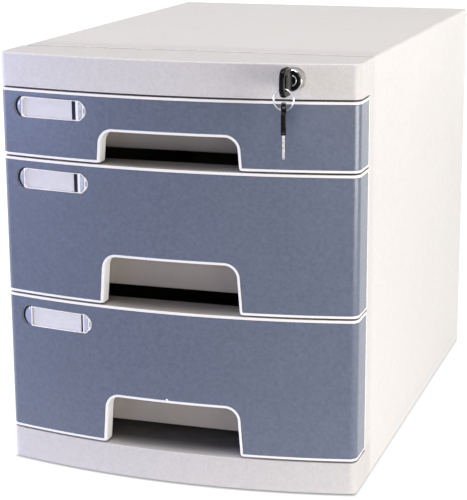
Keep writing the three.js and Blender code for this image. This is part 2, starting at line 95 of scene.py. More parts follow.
# ------------------------------------------------------------------ the bowed plan outline
class Plan:
    """The front's outline in plan: s runs along it from the left return over the bow to the right return, 0 at the middle."""

    def __init__(self):
        slope = 2 * SAG / HALF
        ln = math.hypot(1, slope)
        self.cx, self.cy = HALF - CORNER_R, -slope * CORNER_R + CORNER_R * ln
        tangent = self.cx + CORNER_R * slope / ln
        a1 = math.atan2(-1, slope)
        pts = []  # right half: x, y, inward normal
        n = 560
        for k in range(n + 1):
            x = tangent * k / n
            m = 2 * SAG * x / (HALF * HALF)
            l = math.hypot(1, m)
            pts.append((x, bow_y(x), -m / l, 1 / l))
        for k in range(1, 41):
            a = a1 * (1 - k / 40)
            pts.append((self.cx + CORNER_R * math.cos(a), self.cy + CORNER_R * math.sin(a), -math.cos(a), -math.sin(a)))
        pts.append((HALF, 80.0, -1.0, 0.0))
        s = [0.0]
        for p, q in zip(pts, pts[1:]):
            s.append(s[-1] + math.hypot(q[0] - p[0], q[1] - p[1]))
        self.s, self.p = s, pts
        self.s_bow, self.s_arc = s[n], s[n + 40]

    def at(self, s):
        t = min(abs(s), self.s[-1])
        i = min(max(bisect_right(self.s, t) - 1, 0), len(self.s) - 2)
        f = (t - self.s[i]) / (self.s[i + 1] - self.s[i])
        a, b = self.p[i], self.p[i + 1]
        x, y, nx, ny = (a[j] + (b[j] - a[j]) * f for j in range(4))
        l = math.hypot(nx, ny)
        sign = -1 if s < 0 else 1
        return sign * x, y, sign * nx / l, ny / l

    def s_of_x(self, x):
        t = abs(x)
        lo, hi = 0, len(self.p) - 1
        while hi - lo > 1:
            mid = (lo + hi) // 2
            if self.p[mid][0] <= t and mid <= 560:
                lo = mid
            else:
                hi = mid
        a, b = self.p[lo], self.p[lo + 1]
        f = (t - a[0]) / (b[0] - a[0]) if b[0] != a[0] else 0
        return math.copysign(self.s[lo] + (self.s[lo + 1] - self.s[lo]) * f, x)

    def s_of_return(self, y):
        """s at depth y on the straight return"""
        return self.s_arc + (y - self.p[-2][1])

    def stations(self, s_end, step=4.0):
        """s values that follow the shape: close together round the corners"""
        out = [0.0]
        n = round(self.s_bow / step)
        out += [self.s_bow * k / n for k in range(1, n + 1)]
        out += [self.s_bow + (self.s_arc - self.s_bow) * k / 14 for k in range(1, 15)]
        m = max(2, round((s_end - self.s_arc) / step))
        out += [self.s_arc + (s_end - self.s_arc) * k / m for k in range(1, m + 1)]
        return sorted({round(v, 5) for v in [-o for o in out] + out})


PLAN = Plan()


def on_bow(s, z, n):
    x, y, nx, ny = PLAN.at(s)
    return W(x + nx * n, y + ny * n, z)


def along_y(y0):
    return lambda a, b, n: W(a, y0 + n, b)


def along_z(z0):
    return lambda a, b, n: W(a, b, z0 + n)


def along_x(x0):
    return lambda a, b, n: W(x0 + n, a, b)


# ------------------------------------------------------------------ outlines
def rounded(corners, radii, steps=8):
    out = []
    n = len(corners)
    for i, (x, y) in enumerate(corners):
        r = radii[i] if isinstance(radii, (list, tuple)) else radii
        if not r:
            out.append((x, y))
            continue
        a = Vector(corners[i - 1]) - Vector((x, y))
        b = Vector(corners[(i + 1) % n]) - Vector((x, y))
        a.normalize(), b.normalize()
        half = a.angle(b) / 2
        reach = r / math.tan(half)
        c = Vector((x, y)) + (a + b).normalized() * (r / math.sin(half))
        f = Vector((x, y)) + a * reach - c
        t = Vector((x, y)) + b * reach - c
        a0 = math.atan2(f.y, f.x)
        sweep = math.atan2(t.y, t.x) - a0
        if sweep > math.pi:
            sweep -= 2 * math.pi
        if sweep < -math.pi:
            sweep += 2 * math.pi
        for k in range(steps + 1):
            out.append((c.x + r * math.cos(a0 + sweep * k / steps), c.y + r * math.sin(a0 + sweep * k / steps)))
    return out


def rect(cx, cy, w, h, r=0.0, steps=8):
    w, h = w / 2, h / 2
    return rounded([(cx - w, cy - h), (cx + w, cy - h), (cx + w, cy + h), (cx - w, cy + h)], r, steps)


def circle(cx, cy, r, n=48):
    return [(cx + r * math.cos(2 * math.pi * k / n), cy + r * math.sin(2 * math.pi * k / n)) for k in range(n)]


def area(loop):
    return sum(a[0] * b[1] - b[0] * a[1] for a, b in zip(loop, loop[1:] + loop[:1])) / 2


def ccw(loop):
    return loop if area(loop) > 0 else loop[::-1]


def cw(loop):
    return loop if area(loop) < 0 else loop[::-1]


def split_long(loop, step, stations=None):
    """Adds points to a loop's long straight edges: at the stations it passes, and so that none is longer than step."""
    out = []
    for a, b in zip(loop, loop[1:] + loop[:1]):
        ts = {0.0}
        d = math.hypot(b[0] - a[0], b[1] - a[1])
        if stations and abs(b[0] - a[0]) > 1e-6:
            for s in stations:
                t = (s - a[0]) / (b[0] - a[0])
                if 0 < t < 1 and 0.3 < t * d < d - 0.3:
                    ts.add(t)
        elif d > step:
            n = math.ceil(d / step)
            ts |= {k / n for k in range(1, n)}
        for t in sorted(ts):
            out.append((a[0] + (b[0] - a[0]) * t, a[1] + (b[1] - a[1]) * t))
    return out


def inset(loop, d):
    """A loop moved to its left by d, with mitred corners; material lies to the left of each loop."""
    if not d:
        return list(loop)
    out = []
    n = len(loop)
    for i in range(n):
        p0, p, p1 = loop[i - 1], loop[i], loop[(i + 1) % n]
        u = Vector((p[0] - p0[0], p[1] - p0[1])).normalized()
        v = Vector((p1[0] - p[0], p1[1] - p[1])).normalized()
        nu, nv = Vector((-u.y, u.x)), Vector((-v.y, v.x))
        m = nu + nv
        k = 2 / max(m.length_squared, 0.6)
        out.append((p[0] + m.x * k * d, p[1] + m.y * k * d))

    def flipped(i):
        j = (i + 1) % n
        return (out[j][0] - out[i][0]) * (loop[j][0] - loop[i][0]) + (out[j][1] - out[i][1]) * (loop[j][1] - loop[i][1]) <= 0

    # a corner arc tighter than d turns inside out: its points go to the corner where its neighbours meet
    turned = [flipped(i) for i in range(n)]
    if any(turned) and not all(turned):
        start = turned.index(False)
        k = 0
        while k < n:
            i = (start + k) % n
            if not turned[i]:
                k += 1
                continue
            run = 0
            while turned[(i + run) % n]:
                run += 1
            a0, a1 = loop[i - 1], loop[i]
            b0, b1 = loop[(i + run) % n], loop[(i + run + 1) % n]
            p, q = out[i - 1], out[(i + run + 1) % n]
            ux, uy, vx, vy = a1[0] - a0[0], a1[1] - a0[1], b1[0] - b0[0], b1[1] - b0[1]
            det = ux * vy - uy * vx
            t = ((q[0] - p[0]) * vy - (q[1] - p[1]) * vx) / det if abs(det) > 1e-9 else 0.5
            meet = (p[0] + ux * t, p[1] + uy * t)
            for m in range(run + 1):
                out[(i + m) % n] = meet
            k += run
    return out


# ------------------------------------------------------------------ mesh making
def inside(px, py, loops):
    """Which points lie inside an even number of loops' outlines: the outer one and its holes."""
    hit = np.zeros(px.shape, bool)
    for loop in loops:
        a = np.array(loop)
        b = np.roll(a, -1, axis=0)
        for (x0, y0), (x1, y1) in zip(a, b):
            if y0 == y1:
                continue
            cross = ((y0 > py) != (y1 > py)) & (px < (x1 - x0) * (py - y0) / (y1 - y0) + x0)
            hit ^= cross
    return hit


def far_from(px, py, loops, gap):
    ok = np.ones(px.shape, bool)
    for loop in loops:
        a = np.array(loop)
        for (x0, y0), (x1, y1) in zip(a, np.roll(a, -1, axis=0)):
            dx, dy = x1 - x0, y1 - y0
            l2 = dx * dx + dy * dy or 1e-12
            t = np.clip(((px - x0) * dx + (py - y0) * dy) / l2, 0, 1)
            ok &= (px - x0 - t * dx) ** 2 + (py - y0 - t * dy) ** 2 > gap * gap
    return ok


class Builder:
    """Collects the vertices and faces of one closed mesh."""

    def __init__(self, mapf):
        self.mapf, self.v, self.f = mapf, [], []

    def ring(self, loop, n, mapf=None):
        m = mapf or self.mapf
        start = len(self.v)
        self.v += [m(a, b, n) for a, b in loop]
        return list(range(start, len(self.v)))

    def bridge(self, r0, r1):
        for i in range(len(r0)):
            j = (i + 1) % len(r0)
            self.f.append((r0[i], r0[j], r1[j], r1[i]))

    def cap(self, loops, rings, n, flip, grid=None, mapf=None):
        """Fills a region between loops whose vertices exist, with points of a grid inside it."""
        m = mapf or self.mapf
        loops = [[(float(np.float32(x)), float(np.float32(y))) for x, y in loop] for loop in loops]
        pts = [p for loop in loops for p in loop]
        ids = [i for r in rings for i in r]
        edges, k = [], 0
        for loop in loops:
            edges += [(k + i, k + (i + 1) % len(loop)) for i in range(len(loop))]
            k += len(loop)
        extra = []
        if grid is not None:
            gx, gy = grid
            px, py = (v.ravel() for v in np.meshgrid(np.array(gx), np.array(gy)))
            keep = inside(px, py, loops)
            px, py = px[keep], py[keep]
            keep = far_from(px, py, loops, 1.2)
            extra = list(zip(px[keep].tolist(), py[keep].tolist()))
        co = [Vector(p) for p in pts + extra]
        verts, _, faces, orig, _, _ = delaunay_2d_cdt(co, edges, [], 1, 1e-5)
        index = []
        for i, v in enumerate(verts):
            known = [o for o in orig[i] if o < len(pts)]
            if known:
                index.append(ids[known[0]])
            else:
                index.append(len(self.v))
                self.v.append(m(v.x, v.y, n))
        tri = np.array([[verts[i][:] for i in f] for f in faces], float)
        mid = tri.mean(axis=1)
        keep = inside(mid[:, 0], mid[:, 1], loops)
        for f, ok in zip(faces, keep):
            if not ok:
                continue
            g = [index[i] for i in f]
            if len(set(g)) < 3:
                continue
            a, b, c = (verts[i] for i in f)
            turn = (b.x - a.x) * (c.y - a.y) - (b.y - a.y) * (c.x - a.x)
            if (turn < 0) != flip:
                g.reverse()
            self.f.append(tuple(g))

    def object(self, name):
        return make(name, self.v, self.f)


def volume(mesh):
    v = np.zeros(len(mesh.vertices) * 3)
    mesh.vertices.foreach_get("co", v)
    v = v.reshape(-1, 3)
    mesh.calc_loop_triangles()
    t = np.zeros(len(mesh.loop_triangles) * 3, int)
    mesh.loop_triangles.foreach_get("vertices", t)
    t = t.reshape(-1, 3)
    a, b, c = v[t[:, 0]], v[t[:, 1]], v[t[:, 2]]
    return float(np.einsum("ij,ij->i", a, np.cross(b, c)).sum() / 6)


def make(name, verts, faces):
    mesh = bpy.data.meshes.new(name)
    mesh.from_pydata([tuple(v) for v in verts], [], faces)
    mesh.validate()
    tidy(mesh)
    if volume(mesh) < 0:
        mesh.flip_normals()
    obj = bpy.data.objects.new(name, mesh)
    bpy.context.scene.collection.objects.link(obj)
    return obj


def tidy(mesh, weld=1e-6):
    """Welds points that lie on each other and drops faces without area."""
    bm = bmesh.new()
    bm.from_mesh(mesh)
    bmesh.ops.remove_doubles(bm, verts=bm.verts, dist=weld)
    bmesh.ops.dissolve_degenerate(bm, edges=bm.edges, dist=weld * 0.5)
    bm.to_mesh(mesh)
    bm.free()
    mesh.update()


def is_closed(mesh):
    count = {}
    for poly in mesh.polygons:
        for e in poly.edge_keys:
            count[e] = count.get(e, 0) + 1
    return bool(count) and all(v == 2 for v in count.values())


def levels(T, rf=0.0, rb=0.0, seg=3):
    out = []
    if rf:
        out += [(rf * (1 - math.sin(k / seg * math.pi / 2)), rf * (1 - math.cos(k / seg * math.pi / 2))) for k in range(seg + 1)]
    else:
        out.append((0.0, 0.0))
    if rb:
        out += [(rb * (1 - math.cos(k / seg * math.pi / 2)), T - rb * (1 - math.sin(k / seg * math.pi / 2))) for k in range(seg + 1)]
    else:
        out.append((0.0, T))
    return out


def slab(name, loops, T, mapf, rf=0.4, rb=0.4, seg=3, grid=None, lv=None):
    """A plate of thickness T with its outline's edges rounded on both faces. The first loop is the outline, the rest are holes."""
    loops = [ccw(loops[0])] + [cw(l) for l in loops[1:]]
    lv = lv or levels(T, rf, rb, seg)
    b = Builder(mapf)
    first = last = None
    for d, n in lv:
        now = [inset(l, d) for l in loops]
        rings = [b.ring(l, n) for l in now]
        if last:
            for r0, r1 in zip(last[1], rings):
                b.bridge(r0, r1)
        first = first or (now, rings, n)
        last = (now, rings, n)
    b.cap(first[0], first[1], first[2], True, grid)
    b.cap(last[0], last[1], last[2], False, grid)
    return b.object(name)


def lathe(name, profile, axis, origin, n=64, closed=False):
    """Turns a profile of (radius, distance along the axis) about an axis through origin. Open profiles start and end on the axis."""
    ax = {"x": (1, 2, 0), "y": (2, 0, 1), "z": (0, 1, 2)}[axis]
    verts, faces, rings = [], [], []

    def put(r, h, a):
        p = [0.0, 0.0, 0.0]
        p[ax[0]], p[ax[1]], p[ax[2]] = r * math.cos(a), r * math.sin(a), h
        verts.append(W(origin[0] + p[0], origin[1] + p[1], origin[2] + p[2]))
        return len(verts) - 1

    for r, h in profile:
        rings.append([put(0, h, 0)] if r < 1e-6 else [put(r, h, 2 * math.pi * k / n) for k in range(n)])
    pairs = list(zip(rings, rings[1:])) + ([(rings[-1], rings[0])] if closed else [])
    for r0, r1 in pairs:
        for k in range(n):
            j = (k + 1) % n
            q = [r0[k % len(r0)], r0[j % len(r0)], r1[j % len(r1)], r1[k % len(r1)]]
            q = [v for i, v in enumerate(q) if v not in q[:i]]
            if len(q) > 2:
                faces.append(tuple(q))
    return make(name, verts, faces)


def soft_profile(points, radii, steps=4):
    """Rounds the inner corners of an open profile; radii has one number for each point."""
    out = []
    for i, p in enumerate(points):
        r = radii[i]
        if not r or i in (0, len(points) - 1):
            out.append(p)
            continue
        a = (Vector(points[i - 1]) - Vector(p))
        b = (Vector(points[i + 1]) - Vector(p))
        la, lb = a.length, b.length
        a.normalize(), b.normalize()
        half = a.angle(b) / 2
        reach = min(r / math.tan(half), la * 0.49, lb * 0.49)
        f, t = Vector(p) + a * reach, Vector(p) + b * reach
        for k in range(steps + 1):
            u = k / steps
            q = f * (1 - u) ** 2 + Vector(p) * 2 * u * (1 - u) + t * u * u
            out.append((q.x, q.y))
    return out


def tube(name, path, radius, n=12, closed=False):
    """A round wire along a path of points in metres, its ends rounded off."""
    verts, faces = [], []
    m = len(path)
    frames = []
    side = None
    for i, p in enumerate(path):
        t = (path[(i + 1) % m] - path[i - 1]) if closed or 0 < i < m - 1 else (path[1] - path[0] if i == 0 else path[-1] - path[-2])
        t.normalize()
        if side is None:
            side = t.orthogonal().normalized()
        side = (side - t * side.dot(t)).normalized()
        frames.append((p, t, side, t.cross(side)))
    rings = []
    stations = [(f, 1.0, 0.0) for f in frames]
    if not closed:
        cap = [(math.cos(a), math.sin(a)) for a in (math.radians(d) for d in (22, 45, 68))]
        stations = [(frames[0], c, -s) for c, s in reversed(cap)] + stations + [(frames[-1], c, s) for c, s in cap]
    for (p, t, u, v), k, push in stations:
        rings.append(len(verts))
        for j in range(n):
            a = 2 * math.pi * j / n
            verts.append(p + t * (push * radius) + (u * math.cos(a) + v * math.sin(a)) * radius * k)
    for a, b in zip(rings, rings[1:] + (rings[:1] if closed else [])):
        for j in range(n):
            i = (j + 1) % n
            faces.append((a + j, a + i, b + i, b + j))
    if not closed:
        faces.append(tuple(range(rings[0] + n - 1, rings[0] - 1, -1)))
        faces.append(tuple(range(rings[-1], rings[-1] + n)))
    return make(name, verts, faces)


def combine(a, b, op):
    """a joined with b ("UNION") or cut by it ("DIFFERENCE", "INTERSECT"), as one clean mesh."""
    whole = is_closed(a.data) and is_closed(b.data)
    if not whole:
        print("OPEN", a.name, is_closed(a.data), b.name, is_closed(b.data))
    for solver in ("MANIFOLD", "EXACT") if whole else ("EXACT",):
        mod = a.modifiers.new("join", "BOOLEAN")
        mod.operation, mod.object, mod.solver = op, b, solver
        dg = bpy.context.evaluated_depsgraph_get()
        dg.update()
        mesh = bpy.data.meshes.new_from_object(a.evaluated_get(dg))
        a.modifiers.remove(mod)
        if len(mesh.polygons) > 3 and abs(volume(mesh) - volume(a.data)) > 1e-13:
            break
    else:
        print("UNCHANGED", a.name, b.name)
    old = a.data
    a.data = mesh
    tidy(a.data, 5e-7)
    if whole and not is_closed(a.data):
        print("OPENED", a.name, b.name)
    bpy.data.objects.remove(b)
    bpy.data.meshes.remove(old)
    return a


def union(*objs):
    for o in objs[1:]:
        combine(objs[0], o, "UNION")
    return objs[0]


def cut(a, *cutters):
    for o in cutters:
        combine(a, o, "DIFFERENCE")
    return a


def block(x0, x1, y0, y1, z0, z1, r=0.0, name="block"):
    """A box with all its edges rounded if r is given."""
    return slab(name, [rect((x0 + x1) / 2, (y0 + y1) / 2, x1 - x0, y1 - y0, r * 1.5, 4)], z1 - z0, along_z(z0), r, r, 3)


def rod_y(r, y0, y1, x, z, n=48):
    return lathe("rod", [(0, y0), (r, y0), (r, y1), (0, y1)], "y", (x, 0, z), n)


# ------------------------------------------------------------------ materials
def ramp(nt, factor, stops, x=0, y=0):
    node = nt.nodes.new("ShaderNodeValToRGB")
    e = node.color_ramp.elements
    while len(e) < len(stops):
        e.new(0.5)
    for el, (pos, col) in zip(e, stops):
        el.position, el.color = pos, (*col, 1)
    nt.links.new(factor, node.inputs[0])
    return node.outputs[0]


def noise(nt, vector, scale, detail=4.0, rough=0.5, dims="3D"):
    node = nt.nodes.new("ShaderNodeTexNoise")
    node.noise_dimensions = dims
    node.inputs["Scale"].default_value = scale
    node.inputs["Detail"].default_value = detail
    node.inputs["Roughness"].default_value = rough
    nt.links.new(vector, node.inputs["Vector"])
    return node.outputs["Fac"]


def math_node(nt, op, a, b=None, c=None, clamp=False):
    node = nt.nodes.new("ShaderNodeMath")
    node.operation, node.use_clamp = op, clamp
    for i, v in enumerate((a, b, c)):
        if v is None:
            continue
        if isinstance(v, (int, float)):
            node.inputs[i].default_value = v
        else:
            nt.links.new(v, node.inputs[i])
    return node.outputs[0]


def map_range(nt, value, lo, hi, to_lo, to_hi):
    node = nt.nodes.new("ShaderNodeMapRange")
    for i, v in enumerate((lo, hi, to_lo, to_hi), 1):
        node.inputs[i].default_value = v
    nt.links.new(value, node.inputs[0])
    return node.outputs[0]


def stretched(nt, coords, sx, sy, sz):
    node = nt.nodes.new("ShaderNodeMapping")
    node.inputs["Scale"].default_value = (sx, sy, sz)
    nt.links.new(coords, node.inputs["Vector"])
    return node.outputs[0]


def bump(nt, height, strength, distance, normal=None):
    node = nt.nodes.new("ShaderNodeBump")
    node.inputs["Strength"].default_value = strength
    node.inputs["Distance"].default_value = distance
    nt.links.new(height, node.inputs["Height"])
    if normal is not None:
        nt.links.new(normal, node.inputs["Normal"])
    return node.outputs[0]


def tint(c, k):
    return tuple(min(max(v * k, 0), 1) for v in c)


def mix_colour(nt, factor, a, b, blend="MIX"):
    node = nt.nodes.new("ShaderNodeMix")
    node.data_type, node.blend_type = "RGBA", blend
    for sock, v in ((node.inputs[0], factor), (node.inputs[6], a), (node.inputs[7], b)):
        if isinstance(v, (int, float)):
            sock.default_value = v
        elif isinstance(v, tuple):
            sock.default_value = (*v, 1)
        else:
            nt.links.new(v, sock)
    return node.outputs[2]


def material(name):
    mat = bpy.data.materials.new(name)
    mat.use_nodes = True
    nt = mat.node_tree
    bsdf = nt.nodes["Principled BSDF"]
    coords = nt.nodes.new("ShaderNodeTexCoord").outputs["Object"]
    return mat, nt, bsdf, coords


def plastic(name, colour, rough=0.42, grain=0.12, grain_scale=5200.0, mottling=0.035, coat=0.0, ior=1.49, scuffs=0.04, edge_wear_and_highlight=0.12, speckle=0.0, spec=0.5, recess=0.0, patches=0.02, tray_nose_shade=(), seam_shade=0.0):
    """Moulded plastic: fine spark-eroded grain, slow drift in tone, faint rubbed patches, edges a little lighter
    (partly rubbing, partly a painted highlight) and,
    with recess, painted shade: on ledges that face up behind the front, darker towards the back, and a fainter
    darkening low round the foot. seam_shade is the strength of the painted shade on the flat top along the joint behind
    the front frame. tray_nose_shade lists (z, rise, strength) of the painted shade low on the trays' noses."""
    mat, nt, bsdf, co = material(name)
    slow = noise(nt, co, 9.0, 3.0, 0.5)
    cloud = noise(nt, co, 70.0, 4.0, 0.55)
    tone = math_node(nt, "ADD", math_node(nt, "MULTIPLY", slow, 0.65), math_node(nt, "MULTIPLY", cloud, 0.35))
    base = ramp(nt, tone, [(0.32, tint(colour, 1 - mottling)), (0.68, tint(colour, 1 + mottling))])
    geo = nt.nodes.new("ShaderNodeNewGeometry")
    # edges lighter where pointiness is high: partly rubbing, partly a painted highlight along the edges
    edge = map_range(nt, geo.outputs["Pointiness"], 0.515, 0.56, 0.0, edge_wear_and_highlight)
    base = mix_colour(nt, edge, base, tint(colour, 1.22))
    patch = noise(nt, co, 310.0, 3.0, 0.6)
    base = mix_colour(nt, map_range(nt, patch, 0.5, 0.72, 0.0, patches), base, tint(colour, 2.0))
    base = mix_colour(nt, map_range(nt, patch, 0.5, 0.28, 0.0, patches), base, (0, 0, 0))
    dots = noise(nt, co, 1300.0, 3.0, 0.7)
    base = mix_colour(nt, map_range(nt, dots, 0.40, 0.70, 0.0, speckle), base, tint(colour, 1.9))
    base = mix_colour(nt, map_range(nt, dots, 0.50, 0.30, 0.0, speckle), base, tint(colour, 0.35))
    # painted shade: up-facing ledges darken deeper behind the bowed front, where the part above shades them; then a
    # fainter darkening low round the foot
    if recess:
        pos, nrm = nt.nodes.new("ShaderNodeSeparateXYZ"), nt.nodes.new("ShaderNodeSeparateXYZ")
        nt.links.new(co, pos.inputs[0])
        nt.links.new(geo.outputs["Normal"], nrm.inputs[0])
        u = math_node(nt, "MULTIPLY", pos.outputs[0], 1000 / HALF)
        bow = math_node(nt, "MULTIPLY_ADD", math_node(nt, "MULTIPLY", u, u), SAG * 0.001, (SHIFT - SAG) * 0.001)
        deep = map_range(nt, math_node(nt, "SUBTRACT", pos.outputs[1], bow), 0.003, 0.024, 0.0, recess)
        up = map_range(nt, nrm.outputs[2], 0.6, 0.9, 0.0, 1.0)
        low = map_range(nt, pos.outputs[2], 0.290, 0.300, 1.0, 0.0)
        painted_shade = math_node(nt, "MULTIPLY", math_node(nt, "MULTIPLY", deep, up), math_node(nt, "MULTIPLY", low, map_range(nt, cloud, 0.3, 0.7, 0.85, 1.0)))
        base = mix_colour(nt, painted_shade, base, (0.06, 0.055, 0.055))
        foot = map_range(nt, math_node(nt, "ADD", pos.outputs[2], math_node(nt, "MULTIPLY", cloud, 0.002)), 0.026, 0.034, 0.10, 0.0)
        base = mix_colour(nt, foot, base, (0.06, 0.055, 0.055))
    # painted shade: a darker, pinkish band on the flat top across the joint behind the front frame, for the shading of
    # the shallow dip there
    if seam_shade:
        pos, nrm = nt.nodes.new("ShaderNodeSeparateXYZ"), nt.nodes.new("ShaderNodeSeparateXYZ")
        nt.links.new(co, pos.inputs[0])
        nt.links.new(geo.outputs["Normal"], nrm.inputs[0])
        before = map_range(nt, pos.outputs[1], (SHIFT + 38) * 0.001, (SHIFT + 46) * 0.001, 0.0, seam_shade)
        after = map_range(nt, pos.outputs[1], (SHIFT + 60) * 0.001, (SHIFT + 76) * 0.001, seam_shade, 0.0)
        flat = math_node(nt, "MULTIPLY", map_range(nt, nrm.outputs[2], 0.96, 0.998, 0.0, 1.0), map_range(nt, cloud, 0.3, 0.7, 0.8, 1.1))
        base = mix_colour(nt, math_node(nt, "MULTIPLY", math_node(nt, "MINIMUM", before, after), flat), base, (0.12, 0.055, 0.055))
    # painted shade: near-black darkening low on the front of each tray, just above its floor, for the shadow inside the
    # finger cut-outs
    if tray_nose_shade:
        pos = nt.nodes.new("ShaderNodeSeparateXYZ")
        nt.links.new(co, pos.inputs[0])
        front = map_range(nt, pos.outputs[1], (SHIFT + 3) * 0.001, (SHIFT + 9) * 0.001, 1.0, 0.0)
        for z, rise, strength in tray_nose_shade:
            above = map_range(nt, pos.outputs[2], z * 0.001, (z + rise) * 0.001, strength, 0.0)
            below = map_range(nt, pos.outputs[2], (z - 1) * 0.001, z * 0.001, 0.0, 1.0)
            painted_shade = math_node(nt, "MULTIPLY", math_node(nt, "MULTIPLY", above, below), math_node(nt, "MULTIPLY", front, map_range(nt, cloud, 0.3, 0.7, 0.85, 1.0)))
            base = mix_colour(nt, painted_shade, base, (0.012, 0.011, 0.011))
    nt.links.new(base, bsdf.inputs["Base Color"])
    scratch = noise(nt, stretched(nt, co, 60.0, 60.0, 420.0), 1.0, 5.0, 0.6)
    r = map_range(nt, scratch, 0.35, 0.7, rough - scuffs, rough + scuffs)
    r2 = math_node(nt, "ADD", r, map_range(nt, cloud, 0.3, 0.7, -scuffs * 0.5, scuffs * 0.5), clamp=True)
    nt.links.new(r2, bsdf.inputs["Roughness"])
    fine = noise(nt, co, grain_scale, 2.0, 0.6)
    wave = noise(nt, co, 38.0, 2.0, 0.45)
    n1 = bump(nt, fine, grain, 0.00004)
    n2 = bump(nt, wave, 0.10, 0.0006, n1)
    nt.links.new(n2, bsdf.inputs["Normal"])
    bsdf.inputs["IOR"].default_value = ior
    bsdf.inputs["Specular IOR Level"].default_value = spec
    bsdf.inputs["Coat Weight"].default_value = coat
    bsdf.inputs["Coat Roughness"].default_value = 0.22
    return mat


def metal(name, colour, rough=0.25, brush=(1.0, 1.0, 1.0), brush_strength=0.25, spots=0.15):
    """Plated or brushed metal: directional scratches in roughness and bump, faint clouding of the plating."""
    mat, nt, bsdf, co = material(name)
    cloud = noise(nt, co, 160.0, 5.0, 0.6)
    base = ramp(nt, cloud, [(0.3, tint(colour, 1 - spots)), (0.7, tint(colour, 1 + spots * 0.4))])
    nt.links.new(base, bsdf.inputs["Base Color"])
    bsdf.inputs["Metallic"].default_value = 1.0
    lines = noise(nt, stretched(nt, co, *[b * 900.0 for b in brush]), 1.0, 6.0, 0.65)
    r = map_range(nt, lines, 0.3, 0.7, max(rough - 0.08, 0.03), rough + 0.10)
    nt.links.new(r, bsdf.inputs["Roughness"])
    nt.links.new(bump(nt, lines, brush_strength, 0.00002), bsdf.inputs["Normal"])
    return mat


def rubber(name, colour):
    mat, nt, bsdf, co = material(name)
    n = noise(nt, co, 900.0, 6.0, 0.7)
    nt.links.new(ramp(nt, n, [(0.3, tint(colour, 0.7)), (0.75, tint(colour, 1.5))]), bsdf.inputs["Base Color"])
    nt.links.new(map_range(nt, n, 0.3, 0.7, 0.72, 0.92), bsdf.inputs["Roughness"])
    nt.links.new(bump(nt, n, 0.35, 0.00012), bsdf.inputs["Normal"])
    return mat


def paper(name, colour):
    """Uncoated card: fibres in tone and bump."""
    mat, nt, bsdf, co = material(name)
    fibre = noise(nt, stretched(nt, co, 700.0, 700.0, 2600.0), 1.0, 7.0, 0.7)
    cloud = noise(nt, co, 220.0, 3.0, 0.5)
    tone = math_node(nt, "ADD", math_node(nt, "MULTIPLY", fibre, 0.6), math_node(nt, "MULTIPLY", cloud, 0.4))
    nt.links.new(ramp(nt, tone, [(0.35, tint(colour, 0.95)), (0.65, tint(colour, 1.04))]), bsdf.inputs["Base Color"])
    bsdf.inputs["Roughness"].default_value = 0.85
    nt.links.new(bump(nt, fibre, 0.3, 0.00005), bsdf.inputs["Normal"])
    return mat


def clear(name, colour, rough, cover):
    """Clear polished plastic, slightly cloudy and finely scratched; cover is how much of what lies behind it veils."""
    mat, nt, bsdf, co = material(name)
    haze = noise(nt, co, 260.0, 4.0, 0.55)
    nt.links.new(ramp(nt, haze, [(0.3, tint(colour, 0.95)), (0.7, tint(colour, 1.03))]), bsdf.inputs["Base Color"])
    scratch = noise(nt, stretched(nt, co, 300.0, 300.0, 2400.0), 1.0, 6.0, 0.6)
    nt.links.new(map_range(nt, scratch, 0.4, 0.75, rough, rough + 0.14), bsdf.inputs["Roughness"])
    nt.links.new(bump(nt, haze, 0.06, 0.0002), bsdf.inputs["Normal"])
    nt.links.new(map_range(nt, haze, 0.3, 0.7, cover * 0.85, cover * 1.1), bsdf.inputs["Alpha"])
    bsdf.inputs["IOR"].default_value = 1.49
    return mat


